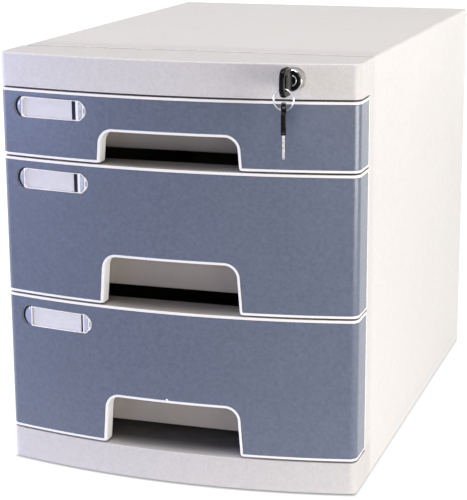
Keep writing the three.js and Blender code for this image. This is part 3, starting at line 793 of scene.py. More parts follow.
M = {
    # painted shade: a band on the top along the joint behind the front frame
    "white": plastic("cabinet_white", (0.595, 0.576, 0.562), 0.50, 0.16, mottling=0.016, speckle=0.12, spec=0.35, patches=0.05, seam_shade=0.095),
    # painted shade: a darker copy of the cabinet white for the front frame, for the shade on its front; its edges also
    # carry the painted highlight
    "front": plastic("front_frame_white", (0.552, 0.532, 0.523), 0.50, 0.16, mottling=0.018, edge_wear_and_highlight=0.40, speckle=0.12, spec=0.35, recess=0.8, patches=0.06, seam_shade=0.075),
    # painted shade on the moulding's up-facing ledges behind the front, through recess
    "rim": plastic("drawer_white", (0.80, 0.79, 0.78), 0.42, 0.12, mottling=0.012, recess=0.45),
    "blue": plastic("face_blue_grey", (0.094, 0.114, 0.168), 0.27, 0.08, mottling=0.05, scuffs=0.0, edge_wear_and_highlight=0.10, speckle=0.20, spec=0.72, patches=0.15),
    # painted shade: darker than the tray's own white-grey plastic, for the shade behind the cut-outs, with near-black
    # painted shade low on the noses
    "tray": plastic("tray_grey", (0.224, 0.203, 0.184), 0.55, 0.25, mottling=0.10, scuffs=0.05, speckle=0.05, spec=0.25,
                    tray_nose_shade=[(TRAY_Z[0][0], 16.0, 0.80), (TRAY_Z[1][0], 22.0, 0.30), (TRAY_Z[2][0], 22.0, 0.20)]),
    # painted shade: a grey copy of the drawer moulding's white plastic, for the shade on the top flange under the
    # drawer above
    "ledge": plastic("ledge_grey_shaded", (0.385, 0.358, 0.328), 0.55, 0.25, mottling=0.08, scuffs=0.05, speckle=0.05, spec=0.25),
    "inner": plastic("inner_grey", (0.50, 0.48, 0.46), 0.60, 0.3, mottling=0.03, scuffs=0.05, spec=0.3),
    # painted shade: a near-black backing under the label, for the shade in its pocket
    "shade_bed": plastic("label_shade_bed", (0.020, 0.022, 0.040), 0.5, 0.2, mottling=0.1, spec=0.2),
    "black": plastic("key_black", (0.003, 0.003, 0.004), 0.16, 0.16, 3600.0, mottling=0.25, scuffs=0.05, edge_wear_and_highlight=0.05, spec=0.15),
    # painted reflection: grey panels on the black key bow, for the sheen they show
    "sheen_inlay": plastic("key_inlay_painted_sheen", (0.060, 0.060, 0.062), 0.42, 0.25, 3600.0, mottling=0.15, scuffs=0.05, spec=0.4),
    "plug": plastic("lock_black", (0.004, 0.004, 0.005), 0.20, 0.05, mottling=0.2, scuffs=0.05, spec=0.22),
    "chrome": metal("lock_chrome", (0.60, 0.60, 0.61), 0.14, (1, 6, 1), 0.10, 0.16),
    "wire": metal("ring_wire", (0.76, 0.76, 0.77), 0.36, (1, 6, 1), 0.10, 0.10),
    "nickel": metal("key_nickel", (0.74, 0.73, 0.715), 0.36, (1, 1, 8), 0.25, 0.10),
    "steel": metal("zinc_sheet", (0.56, 0.57, 0.58), 0.34, (1, 1, 0.12), 0.2, 0.22),
    "screw": metal("zinc_screw", (0.60, 0.60, 0.60), 0.28, (1, 4, 1), 0.15, 0.18),
    "rubber": rubber("foot_rubber", (0.022, 0.022, 0.023)),
    "card": paper("label_card", (0.68, 0.67, 0.665)),
    "clear": clear("label_clear", (0.80, 0.80, 0.86), 0.10, 0.12),
    "gem": clear("label_end_clear", (0.62, 0.66, 0.80), 0.08, 0.72),
    # painted shade: a darker copy of the clear end plastic, for the label's left end in shade
    "gem_shaded": clear("label_end_clear_shaded", (0.46, 0.50, 0.66), 0.08, 0.62),
}


# ------------------------------------------------------------------ finishing a piece
def shade(obj, mat, angle=38.0, weighted=True):
    mesh = obj.data
    for p in mesh.polygons:
        p.use_smooth = True
    mesh.set_sharp_from_angle(angle=math.radians(angle))
    mesh.materials.clear()
    mesh.materials.append(M[mat])
    if weighted:
        w = obj.modifiers.new("weighted", "WEIGHTED_NORMAL")
        w.keep_sharp, w.weight = True, 60
    return obj


def done(obj, name, mat, body, node=None, slot=None, **kw):
    """Names, finishes and hangs a piece on its body in one go."""
    obj.name = name
    obj.data.name = name
    shade(obj, mat, **kw)
    if node:
        for n in [node] if isinstance(node, str) else node:
            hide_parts(n)
    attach(obj, body)
    return obj


# ------------------------------------------------------------------ drawers
def cut_outline(d, grow, bottom=6.0):
    """A finger cut-out's outline in x and z, open downwards past the drawer front's lower edge."""
    zb = GAP_Z[d + 1] + HALF_GAP
    zt = CUT_TOP_Z[d] + grow

    def at(z):
        return CUT_HALF_BOTTOM + grow - CUT_SLOPE * (z - zb)

    return rounded(
        [(-at(zb - bottom), zb - bottom), (at(zb - bottom), zb - bottom), (at(zt), zt), (-at(zt), zt)],
        [0, 0, CUT_R + grow, CUT_R + grow], 14,
    )


def front_loop(d, s_end, stations):
    """A drawer front's outline in s and z, with the finger cut-out as a notch in its lower edge."""
    zt, zb = GAP_Z[d] - HALF_GAP, GAP_Z[d + 1] + HALF_GAP
    arch = []
    for x, z in rounded(
        [(CUT_HALF_BOTTOM, zb), (CUT_HALF_BOTTOM - CUT_SLOPE * (CUT_TOP_Z[d] - zb), CUT_TOP_Z[d]),
         (-CUT_HALF_BOTTOM + CUT_SLOPE * (CUT_TOP_Z[d] - zb), CUT_TOP_Z[d]), (-CUT_HALF_BOTTOM, zb)],
        [0, CUT_R, CUT_R, 0], 16,
    ):
        arch.append((PLAN.s_of_x(x), z))
    # small radii where the cut-out meets the lower edge
    corners = [(-s_end, zb)] + [arch[-1]] + arch[-2:0:-1] + [arch[0]] + [(s_end, zb), (s_end, zt), (-s_end, zt)]
    radii = [0.6, 2.4] + [0] * (len(arch) - 2) + [2.4, 0.6, 0.6, 0.6]
    return split_long(ccw(rounded(corners, radii, 4)), 8.0, stations)


for d in range(3):
    n = d + 1
    zt, zb = GAP_Z[d] - HALF_GAP, GAP_Z[d + 1] + HALF_GAP
    s_end = PLAN.s_of_return(FRONT_END)
    stations = PLAN.stations(s_end)
    rows = np.linspace(zb, zt, max(4, round((zt - zb) / 9)))[1:-1].tolist()
    grid = (stations, rows)
    outer = front_loop(d, s_end, stations)
    lz = zt - LABEL_DROP[d]
    sl = PLAN.s_of_x(LABEL_X)

    def pill(grow, steps=14):
        return rect(sl, lz, LABEL_L + 2 * grow, LABEL_H + 2 * grow, LABEL_H / 2 + grow - 0.01, steps)

    # moulding: rim, seat for the coloured face, pocket for the label, plain back
    b = Builder(on_bow)
    seat = [(RIM, FACE_T), (RIM, 0.16), (RIM - 0.05, 0.05), (RIM - 0.16, 0.0)]
    edge = [(0.62 * (1 - math.sin(a)), 0.62 * (1 - math.cos(a))) for a in (math.radians(v) for v in (0, 18, 36, 54, 72, 90))]
    back = [(0.0, FRONT_WALL - 0.3), (0.09, FRONT_WALL - 0.09), (0.3, FRONT_WALL)]
    last = None
    loops = []
    for dd, nn in seat + edge + back:
        now = inset(outer, dd)
        ring = b.ring(now, nn)
        if last:
            b.bridge(last, ring)
        loops.append((now, ring, nn))
        last = ring
    hole = cw(split_long(ccw(pill(0)), 6.0))
    pocket = [b.ring(hole, FACE_T), b.ring(hole, 2.3), b.ring(inset(hole, -0.25), 2.45)]
    b.bridge(pocket[0], pocket[1])
    b.bridge(pocket[1], pocket[2])
    b.cap([loops[0][0], hole], [loops[0][1], pocket[0]], FACE_T, True, grid)
    b.cap([inset(hole, -0.25)[::-1]], [pocket[2][::-1]], 2.45, True, None)
    b.cap([loops[-1][0]], [loops[-1][1]], FRONT_WALL, False, grid)
    mould = b.object(f"mould_{n}")

    # flanges along the top and the bottom, stiffening the moulding, and the cuff round the cut-out
    def flange(z0, z1, y_back, behind=1.4):
        pts = []
        for s in PLAN.stations(PLAN.s_of_return(max(y_back, 8.0))):
            x, y, nx, ny = PLAN.at(s)
            p = (x + nx * behind, y + ny * behind)
            if p[1] <= y_back:
                pts.append(p)
        return slab("flange", [pts], z1 - z0, along_z(z0), 0.25, 0.25, 2)

    ledge = flange(zt - 2.2, zt, FLANGE_BACK, 0.95)
    low = flange(zb + 0.03, zb + 2.2, CUFF_BACK)
    low = cut(low, slab("cutter", [cut_outline(d, 1.0)], 80, along_y(-60), 0, 0))

    def cuff_map(a, z, m):
        y0 = bow_y(a) + 1.7
        return W(a, y0 + (CUFF_BACK - y0) * m, z)

    arch = cut_outline(d, 0.025, -0.05)
    ring_out = cut_outline(d, RIM, -0.05)
    # one strip from the inner outline to the outer one, open at the foot
    inner_pts = [(x, z) for x, z in arch][1:] + [arch[0]]
    outer_pts = [(x, z) for x, z in ring_out][1:] + [ring_out[0]]
    strip = ccw(split_long(inner_pts + outer_pts[::-1], 5.0))
    cuff = slab("cuff", [strip], 1.0, cuff_map, 0, 0)
    mould = union(mould, low, cuff)
    cut(mould, flange(zt - 2.2, zt + 0.5, FLANGE_BACK, 0.95))
    # the top flange takes a grey copy of the moulding's white plastic: painted shade under the drawer above
    done(ledge, f"drawer_{n}_ledge", "ledge", f"drawer_{n}", f"drawer_front_{n}")
    for i, x in enumerate((-92, 92)):
        screw_z = TRAY_Z[d][0] + (TRAY_Z[d][1] - TRAY_Z[d][0]) * (0.62 if d == 0 else 0.6)
        mould = union(mould, rod_y(4.2, bow_y(x) + 2.6, BOSS_BACK, x, screw_z, 32))
        cut(mould, rod_y(2.1, bow_y(x) + 2.2, 3.0, x, screw_z, 24))
    if d == 2:  # the gate mark on the rim above the bottom cut-out
        nub = soft_profile([(0, bow_y(-3) - 0.5), (0.8, bow_y(-3) - 0.4), (1.3, bow_y(-3) + 0.3), (1.3, bow_y(-3) + 1.5), (0, bow_y(-3) + 1.6)], [0, 0.3, 0.2, 0, 0], 4)
        mould = union(mould, lathe("nub", nub, "y", (-3, 0, CUT_TOP_Z[d] + RIM + 0.2), 28))
    done(mould, f"drawer_{n}_moulding", "rim", f"drawer_{n}", f"drawer_front_{n}", "drawer_white")

    # coloured face let into it
    face_loop = inset(outer, RIM + 0.22)
    b = Builder(on_bow)
    last = None
    loops = []
    hole = cw(split_long(ccw(pill(0.05)), 6.0))
    holes = []
    for dd, nn in [(0.22, 0.05), (0.08, 0.10), (0.0, 0.26), (0.0, FACE_T - 0.3)]:
        now, hn = inset(face_loop, dd), inset(hole, dd)
        ring, rh = b.ring(now, nn), b.ring(hn, nn)
        if last:
            b.bridge(last[0], ring)
            b.bridge(last[1], rh)
        loops.append((now, ring, hn, rh, nn))
        last = (ring, rh)
    b.cap([loops[0][0], loops[0][2]], [loops[0][1], loops[0][3]], loops[0][4], True, grid)
    b.cap([loops[-1][0], loops[-1][2]], [loops[-1][1], loops[-1][3]], loops[-1][4], False, grid)
    done(b.object("face"), f"drawer_{n}_face", "blue", f"drawer_{n}", f"face_{n}", "face_blue")

    # label: a holder with a window for the card, bevelled clear ends and a thumb notch, over a near-black backing that
    # paints the shade in the pocket; the card of the lower drawer sits further to the right than the others
    R = LABEL_H / 2 - 0.07
    card_x0, card_x1, window_x1 = (-22.2, 22.2, 24.3) if d == 2 else (-25.0, 19.4, 23.3)
    chord = -23.4 if d == 2 else -25.45
    at_bow = lambda n0: lambda a, z, m: on_bow(a, z, n0 + m)

    def left_arc(r, x_max=-21.8):
        a0 = math.degrees(math.acos(min(max((x_max + 21.8) / r, -1), 1)))
        return [(sl - 21.8 + r * math.cos(math.radians(a)), lz + r * math.sin(math.radians(a))) for a in np.linspace(a0, 360 - a0, 25)]

    def mirrored(points):
        """Points of the lower half in order, then the same ones above the middle line."""
        return [(sl + x, lz - z) for x, z in points] + [(sl + x, lz + z) for x, z in reversed(points)]

    arc = [(max(x, sl + chord), z) for x, z in left_arc(R)]
    arc = [q for i, q in enumerate(arc) if math.dist(q, arc[i - 1]) > 1e-4]
    outline = arc + rounded(mirrored([(24.8, R), (27.2, 7.05), (30.5, 4.2), (31.7, 1.8)]), 0.25, 2)
    wh = R - 0.85
    window = ccw(split_long(rounded(mirrored([(-22.4, wh), (window_x1, wh)])[:2] + mirrored([(window_x1, wh)])[1:] + [(sl - 22.4, lz + wh), (sl - 24.85, lz + 4.8), (sl - 24.85, lz - 4.8)], [0.5, 0.3, 0.3, 0.5, 1.0, 1.0], 3), 5.0))
    if d == 2:
        window = ccw(split_long(rounded(mirrored([(chord + 0.6, wh), (window_x1, wh)]), 0.3, 3), 5.0))
    left_loop = ccw(left_arc(R - 0.03, chord - 0.05))
    right_loop = ccw(rounded(mirrored([(25.4, 6.7), (26.8, 6.45), (28.9, 4.0)]), 0.15, 2))
    notch = rect(sl + 30.35, lz, 1.1, 4.2, 0.4, 3)
    holder = slab("label_frame", [split_long(ccw(outline), 5.0), cw(window), right_loop, notch], 1.75, at_bow(0.08), 0.2, 0.1, 3)
    done(holder, f"drawer_{n}_label_frame", "rim", f"drawer_{n}", f"label_holder_{n}", "clear_plastic")
    card_loop = [(min(max(x, sl + card_x0), sl + card_x1), z) for x, z in window]
    card_loop = [q for i, q in enumerate(card_loop) if math.dist(q, card_loop[i - 1]) > 1e-4]
    lens = slab("lens", [inset(card_loop, 0.03)], 0.85, at_bow(0.5), 0.12, 0.1, 2)
    done(lens, f"drawer_{n}_label_lens", "clear", f"drawer_{n}", f"label_holder_{n}", "clear_plastic")
    # the left end takes a darker copy of the clear plastic: painted shade
    for which, loop, x_flat, tone in (("left", left_loop, chord - 0.05, "gem_shaded"), ("right", right_loop, 25.4, "gem")):
        loop = inset(loop, 0.03)
        top = [(sl + x_flat + (x - sl - x_flat) * 0.45, lz + (z - lz) * (1 - 0.12 * abs(x - sl - x_flat))) for x, z in loop]
        b = Builder(on_bow)
        rings = [b.ring(loop, 1.5), b.ring(loop, 1.0), b.ring(top, 0.14)]
        b.bridge(rings[0], rings[1])
        b.bridge(rings[1], rings[2])
        b.cap([loop], [rings[0]], 1.5, True)
        b.cap([top], [rings[2]], 0.14, False)
        done(b.object("end"), f"drawer_{n}_label_end_{which}", tone, f"drawer_{n}", f"label_holder_{n}", "clear_plastic", angle=15, weighted=False)
    card = slab("card", [inset(card_loop, 0.1)], 0.3, at_bow(1.42), 0.05, 0.05, 1)
    done(card, f"drawer_{n}_label_card", "card", f"drawer_{n}", f"label_card_{n}", "card_paper")
    # painted shade: a near-black backing under the label and a dark crescent lining at its left end, for the shade in
    # the pocket
    shade_bed = slab("shade_bed", [split_long(ccw(pill(-0.12)), 6.0)], 0.25, at_bow(2.0), 0.05, 0.05, 1)
    rim = [(sl - 24.1 + r * math.cos(math.radians(a)), lz + r * math.sin(math.radians(a))) for r, turn in ((7.9, 1), (7.6, -1)) for a in list(range(110, 251, 7))[::turn]]
    shade_bed = union(shade_bed, slab("shade_liner", [ccw(rim)], 0.85, at_bow(1.3), 0, 0))
    done(shade_bed, f"drawer_{n}_label_bed", "shade_bed", f"drawer_{n}")

# ------------------------------------------------------------------ front frame
def plan_loop(d, back, step=4.0):
    """The bowed plan outline moved inwards by d and closed by a straight edge at y = back."""
    out = []
    for s in PLAN.stations(PLAN.s_of_return(back), step):
        x, y, nx, ny = PLAN.at(s)
        out.append((x + nx * d, y + ny * d))
    return out


def loft(name, lv, mapf):
    """A closed solid through loops of equal point counts; lv lists (loop, n)."""
    b = Builder(mapf)
    last = None
    for loop, n in lv:
        ring = b.ring(loop, n)
        if last:
            b.bridge(last[1], ring)
        else:
            b.cap([loop], [ring], n, True)
        last = (loop, ring, n)
    b.cap([last[0]], [last[1]], last[2], False)
    return b.object(name)


def quarter(r, steps):
    return [(r * (1 - math.cos(a)), r * (1 - math.sin(a))) for a in (k / steps * math.pi / 2 for k in range(steps + 1))]


FASCIA_Z0, PLINTH_Z1 = GAP_Z[0] + HALF_GAP, GAP_Z[3] - HALF_GAP
fascia_levels = [(plan_loop(0.35, FRAME_BACK), FASCIA_Z0), (plan_loop(0.1, FRAME_BACK), FASCIA_Z0 + 0.1), (plan_loop(0.0, FRAME_BACK), FASCIA_Z0 + 0.4)]
fascia_levels += [(plan_loop(a, FRAME_BACK), HEIGHT - b) for a, b in quarter(1.35, 6)]
fascia = loft("fascia", fascia_levels, along_z(0))
cut(fascia, loft("cavity", [(plan_loop(2.8, FRAME_BACK + 4), 301.0), (plan_loop(2.8, FRAME_BACK + 4), HEIGHT - 2.6)], along_z(0)))
dip = [(36.0, 325.0), (36.0, 324.02), (38.0, 323.99), (39.5, 323.93), (41.0, 323.82), (42.5, 323.66), (44.0, 323.46), (45.5, 323.22), (47.0, 322.94), (47.0, 325.0)]
cut(fascia, slab("dip", [dip], 300.0, along_x(-150), 0, 0))
plinth_levels = [(plan_loop(0.5, FRAME_BACK), FOOT_DROP), (plan_loop(0.15, FRAME_BACK), FOOT_DROP + 0.15), (plan_loop(0.0, FRAME_BACK), FOOT_DROP + 0.5)]
plinth_levels += [(plan_loop(a, FRAME_BACK), PLINTH_Z1 - b) for a, b in quarter(0.8, 5)]
plinth = loft("plinth", plinth_levels, along_z(0))
cut(plinth, loft("cavity", [(plan_loop(2.8, FRAME_BACK + 4), 0.0), (plan_loop(2.8, FRAME_BACK + 4), PLINTH_Z1 - 2.5)], along_z(0)))
boss = rod_y(10, LOCK_Y - 1.5, -1, LOCK_X, LOCK_Z, 48)
boss = combine(boss, loft("limit", [(plan_loop(1.0, FRAME_BACK), 299.0), (plan_loop(1.0, FRAME_BACK), 322.6)], along_z(0)), "INTERSECT")
parts = [fascia, boss, plinth]
for side in (-1, 1):
    prof = [(OPENING, STILE_FRONT), (HALF, STILE_FRONT), (HALF, FRAME_BACK), (HALF - 2.8, FRAME_BACK), (HALF - 2.8, STILE_FRONT + 2.5), (OPENING, STILE_FRONT + 2.5)]
    prof = rounded([(side * x, y) for x, y in prof], [0.3, 0.6, 0, 0, 1.2, 0.3], 4)
    parts.append(slab("stile", [prof], FASCIA_Z0 - PLINTH_Z1 + 3.0, along_z(PLINTH_Z1 - 1.5), 0, 0))
front_frame = union(*parts)
cut(front_frame, rod_y(8.1, -40, LOCK_Y + 1.3, LOCK_X, LOCK_Z, 72), rod_y(6.1, -40, 5, LOCK_X, LOCK_Z, 48))
done(front_frame, "cabinet_front_frame", "front", "cabinet", "front_frame", "body_white")

# ------------------------------------------------------------------ shell, back, base and feet
SHELL_FRONT = FRAME_BACK + 0.3
profile = rounded(
    [(HALF, FOOT_DROP), (HALF, HEIGHT), (-HALF, HEIGHT), (-HALF, FOOT_DROP), (-HALF + WALL, FOOT_DROP), (-HALF + WALL, HEIGHT - WALL), (HALF - WALL, HEIGHT - WALL), (HALF - WALL, FOOT_DROP)],
    [0.4, 3, 3, 0.4, 0.4, 0.8, 0.8, 0.4], 8,
)
shell = slab("shell_skin", [profile], DEPTH - SHELL_FRONT, along_y(SHELL_FRONT), 0.6, 0.6, 4)
for side in (-1, 1):
    for z in (20.5, 315.5):
        shell = union(shell, block(125 if side > 0 else -138, 138 if side > 0 else -125, 396, 409.7, z - 6.5, z + 6.5, 0.5))
        cut(shell, rod_y(1.7, 399, 411, side * 130.5, z, 20))
done(shell, "cabinet_shell", "white", "cabinet", "shell", "body_white")

back = slab("back_skin", [rect(0, (9 + 321.2) / 2, 274.4, 312.2, 2.0, 5)], 2.5, along_y(410), 0.4, 0.4, 3)
cut(back, slab("field", [rect(0, (9 + 321.2) / 2, 236, 270, 6.0, 8)], 2.0, along_y(411.8), 0, 0))
for side in (-1, 1):
    for z in (20.5, 315.5):
        cut(back, rod_y(1.9, 405, 416, side * 130.5, z, 24))
for k in range(7):
    cut(back, slab("vent", [rect(0, 250 - k * 9, 90, 3.2, 1.55, 6)], 6.0, along_y(408), 0, 0))
done(back, "cabinet_back", "inner", "cabinet", "back_panel", "inner_grey")


def cross_screw(name, r_shank, r_head, tip, under, top, x, z, body, node, axis_sign=1):
    """Pan-head screw with a cross recess, lying along Y with its head at +Y."""
    h = top - under
    prof = soft_profile(
        [(0, tip), (r_shank * 0.55, tip + 0.25), (r_shank, tip + 1.6), (r_shank, under), (r_head, under), (r_head, under + h * 0.45), (r_head * 0.72, top), (0, top)],
        [0, 0.2, 0.5, 0, 0.15, 0.5, 0.8, 0], 3,
    )
    obj = lathe(name, prof, "y", (x, 0, z), 32)
    for w, l in ((0.55, r_head * 1.05), (r_head * 1.05, 0.55)):
        cut(obj, block(x - w / 2, x + w / 2, top - 0.75, top + 1, z - l / 2, z + l / 2, 0.0))
    return done(obj, name, "screw", body, node, "screw_zinc", angle=32)


k = 1
for z in (20.5, 315.5):
    for side in (-1, 1):
        cross_screw(f"back_screw_{k}", 1.4, 3.4, 400.5, 412.8, 414.6, side * 130.5, z, "cabinet", f"screw_back_{k}")
        k += 1

base = block(-137.2, 137.2, SHELL_FRONT, 409.5, 6, 8.5, 0.4)
for x in (-60, 0, 60):
    base = union(base, block(x - 1.2, x + 1.2, 60, 400, 2.5, 6.5, 0.3))
FEET = [(-110, 75), (110, 75), (-110, 385), (110, 385)]
for x, y in FEET:
    cut(base, lathe("hole", [(0, 2), (3, 2), (3, 12), (0, 12)], "z", (x, y, 0), 32))
done(base, "cabinet_base", "inner", "cabinet", "base_panel", "inner_grey")
for k, (x, y) in enumerate(FEET):
    prof = soft_profile(
        [(0, 0.5), (5.6, 0.5), (6.2, 0.0), (8.7, 0), (9.6, 1.1), (9.6, 5.7), (2.7, 5.7), (2.7, 9.2), (3.2, 9.5), (2.2, 10.2), (0, 10.2)],
        [0, 0.2, 0.2, 0.5, 0.8, 0.5, 0.2, 0.2, 0.2, 0.3, 0], 4,
    )
    done(lathe("foot", prof, "z", (x, y, 0), 56), f"foot_pad_{k + 1}", "rubber", "cabinet", f"foot_{k + 1}", "rubber")

# ------------------------------------------------------------------ runners and trays
RUN_FRONT, RUN_BACK, RUN_WEB, RUN_EDGE, RUN_OUT, PLAY, RUN_T, RIB_T = 62.5, 402.0, 134.7, 128.5, 137.2, 0.35, 2.5, 2.5
RIB_FRONT, RIB_BACK, RIB_OUT = 53.4, 388.0, 134.0
for d in range(3):
    z, n = RIB_Z[d], d + 1
    for side, sign in (("left", -1), ("right", 1)):
        prof = [
            (RUN_EDGE, z - PLAY - RUN_T), (RUN_OUT, z - PLAY - RUN_T), (RUN_OUT, z + RIB_T + PLAY + RUN_T), (RUN_EDGE + 1, z + RIB_T + PLAY + RUN_T),
            (RUN_EDGE + 1, z + RIB_T + PLAY), (RUN_WEB, z + RIB_T + PLAY), (RUN_WEB, z - PLAY), (RUN_EDGE, z - PLAY),
        ]
        prof = rounded([(sign * x, y) for x, y in prof], [0.5, 0.5, 0.5, 0.5, 0.3, 0.3, 0.3, 0.3], 3)
        done(slab("runner", [prof], RUN_BACK - RUN_FRONT, along_y(RUN_FRONT), 0.4, 0.4, 2), f"runner_{n}_{side}_channel", "inner", "cabinet", f"runner_{n}_{side}", "inner_grey")

    t0, t1 = TRAY_Z[d]
    lv = levels(t1 - t0, 1.6, 0.55, 5)

    def tray_plan(d, r):
        corners = [
            (-TRAY_HALF + d, TRAY_FRONT + 0.817 * d), (-NOSE_HALF + 0.1 * d, NOSE_FRONT + d), (NOSE_HALF - 0.1 * d, NOSE_FRONT + d),
            (TRAY_HALF - d, TRAY_FRONT + 0.817 * d), (TRAY_HALF - d, TRAY_BACK - d), (-TRAY_HALF + d, TRAY_BACK - d),
        ]
        return rounded(corners, [r, 8.0, 8.0, r, r, r], 8)

    tray = slab("tray_skin", [tray_plan(0.0, 3.0)], t1 - t0, along_z(t0), lv=lv)
    cavity = slab("cavity", [tray_plan(TRAY_WALL, 2.6)], t1 - t0, along_z(t0 + TRAY_WALL), lv=levels(t1 - t0, 1.8, 0.0, 5))
    cut(tray, cavity)
    tray = union(tray, block(-RIB_OUT, -TRAY_HALF + 1, RIB_FRONT, RIB_BACK, z, z + RIB_T, 0.35))
    screw_z = t0 + (t1 - t0) * (0.62 if d == 0 else 0.6)
    for i, x in enumerate((-92, 92)):
        cut(tray, rod_y(4.5, -8, 8, x, screw_z, 32))
        cross_screw(f"drawer_{n}_screw_{'right' if i else 'left'}", 1.8, 5.9, bow_y(x) + 2.5, -0.4, 1.3, x, screw_z, f"drawer_{n}", f"screw_front_{n}_{'right' if i else 'left'}")
    done(tray, f"drawer_{n}_tray", "tray", f"drawer_{n}", [f"tray_{n}", f"tray_floor_{n}"], "tray_grey")
    rail = union(
        block(TRAY_HALF + 0.2, RIB_OUT, RIB_FRONT, RIB_BACK, z, z + RIB_T, 0.35),
        block(TRAY_HALF + 0.2, 131.5, RIB_FRONT, RIB_FRONT + 4.6, z - 9, z + 1, 0.35),
    )
    done(rail, f"drawer_{n}_rail", "tray", f"drawer_{n}", f"catch_rail_{n}", "tray_grey")

# ------------------------------------------------------------------ lock
SEAT = LOCK_Y + 1.3
prof = soft_profile(
    [(5.4, FACE_Y + 2.1), (7.1, FACE_Y + 2.1), (7.1, FACE_Y + 0.2), (7.2, FACE_Y), (7.4, FACE_Y), (HEAD_R, FACE_Y + 0.5), (HEAD_R, SEAT - 0.3), (5.8, SEAT - 0.3)],
    [0, 0.1, 0.1, 0.1, 0.2, 0.3, 0.25, 0], 5,
)
y = SEAT + 1.0
while y < 8.6:  # thread for the nut
    prof += [(5.8, y - 0.28), (5.42, y)]
    y += 0.56
prof += [(5.8, 8.7), (5.55, 9.0), (4.7, 9.0), (4.7, FACE_Y + 2.6), (5.4, FACE_Y + 2.1)]
done(lathe("housing", prof[:-1], "y", (LOCK_X, 0, LOCK_Z), 96, closed=True), "lock_head", "chrome", "cabinet", "lock_housing", "lock_chrome", angle=30)
hexagon = [(LOCK_X + 7.5 / math.cos(math.pi / 6) * math.cos(i * math.pi / 3), LOCK_Z + 7.5 / math.cos(math.pi / 6) * math.sin(i * math.pi / 3)) for i in range(6)]
done(slab("nut", [rounded(hexagon, 0.5, 3), circle(LOCK_X, LOCK_Z, 6.1, 48)], 3.3, along_y(-0.7), 0.35, 0.35, 2), "lock_hex_nut", "screw", "cabinet", "lock_nut", "screw_zinc")

prof = soft_profile(
    [(0, FACE_Y + 0.7), (4.5, FACE_Y + 0.7), (4.55, FACE_Y + 0.6), (5.1, FACE_Y + 0.5), (5.3, FACE_Y + 0.2), (6.3, FACE_Y + 0.2), (6.85, FACE_Y + 0.7), (6.85, FACE_Y + 1.8), (4.4, FACE_Y + 1.8), (4.4, 12), (0, 12)],
    [0, 0.1, 0.1, 0.1, 0.1, 0.4, 0.4, 0.1, 0.1, 0.3, 0], 6,
)
plug = lathe("plug", prof, "y", (LOCK_X, 0, LOCK_Z), 80)
plug = union(plug, slab("tail", [rect(LOCK_X, LOCK_Z, 5.4, 5.4, 0.4, 3)], 4.2, along_y(11), 0.2, 0.3, 2))
cut(plug, block(LOCK_X - 1.3, LOCK_X + 1.3, FACE_Y - 2, -2, LOCK_Z - 3.6, LOCK_Z + 3.6), rod_y(1.6, 9, 17, LOCK_X, LOCK_Z, 20))
done(plug, "lock_core", "plug", "plug", "lock_plug", "lock_black", angle=32)
wavy = soft_profile([(3.3, FACE_Y + 0.66), (3.45, FACE_Y - 0.0), (3.9, FACE_Y - 0.2), (4.35, FACE_Y + 0.66), (3.3, FACE_Y + 0.66)], [0, 0.3, 0.3, 0.3, 0], 4)
done(lathe("keyhole_ring", wavy[:-1], "y", (LOCK_X, 0, LOCK_Z), 64, closed=True), "keyhole_ring", "nickel", "plug", angle=50)

CRANK = 6.0
PIN_X, PIN_Z = LOCK_X - CRANK * math.cos(math.pi / 4), LOCK_Z - CRANK * math.sin(math.pi / 4)
cam = slab("cam", [circle(LOCK_X, LOCK_Z, 5.6, 56)], 2.0, along_y(12.3), 0.25, 0.25, 2)
cam = union(cam, slab("arm", [circle(PIN_X, PIN_Z, 2.6, 40)], 2.0, along_y(12.3), 0.25, 0.25, 2), slab("pin", [circle(PIN_X, PIN_Z, 1.5, 32)], 8.4, along_y(13.3), 0.1, 0.4, 2))
cut(cam, slab("square", [rect(LOCK_X, LOCK_Z, 6, 6, 0.3, 2)], 5, along_y(11), 0, 0))
done(cam, "lock_lever", "steel", "plug", "lock_cam", "steel", angle=32)
cross_screw("lever_screw", 1.3, 3.9, 9.6, 15.5, 17.3, LOCK_X, LOCK_Z, "plug", "cam_screw")

IN_X, OUT_X = 134.9, 136.9
ARM_Z = (PIN_Z - 3.5, PIN_Z + 3.5)
arm = slab("arm", [rect((84.4 + OUT_X) / 2, PIN_Z, OUT_X - 84.4, 7, 0.6, 3), rect((86.2 + 92.2) / 2, PIN_Z, 6, 3.9, 1.9, 6)], 2.0, along_y(19), 0.25, 0.25, 2)
strip = rounded(
    [(19.3, ARM_Z[0]), (49.5, ARM_Z[0]), (49.5, 70), (59.5, 70), (59.5, ARM_Z[1]), (19.3, ARM_Z[1])],
    [0.4, 2.0, 1.2, 1.2, 1.2, 0.4], 4,
)
bar = union(arm, slab("strip", [strip], 2.0, along_x(IN_X), 0.25, 0.25, 2))
done(bar, "lock_rod", "steel", "lock_bar", "lock_bar", "steel", angle=32)
for d in range(3):
    z = RIB_Z[d]
    done(block(130, IN_X - 0.2, 49.8, 52.4, z - 20, z - 11, 0.3), f"lock_rod_tab_{d + 1}", "steel", "lock_bar", f"lock_tab_{d + 1}", "steel")
for label, z in (("bar", 160),):
    prof = rounded([(132.6, 46.7), (137.2, 46.7), (137.2, 49.1), (134.5, 49.1), (134.5, 59.9), (137.2, 59.9), (137.2, 62.2), (132.6, 62.2)], [0.8, 0.3, 0.3, 0.3, 0.3, 0.3, 0.3, 0.8], 3)
    done(slab("guide", [prof], 26.0, along_z(z - 13), 0.4, 0.4, 2), "rod_guide", "inner", "cabinet", "bar_guide", "inner_grey")


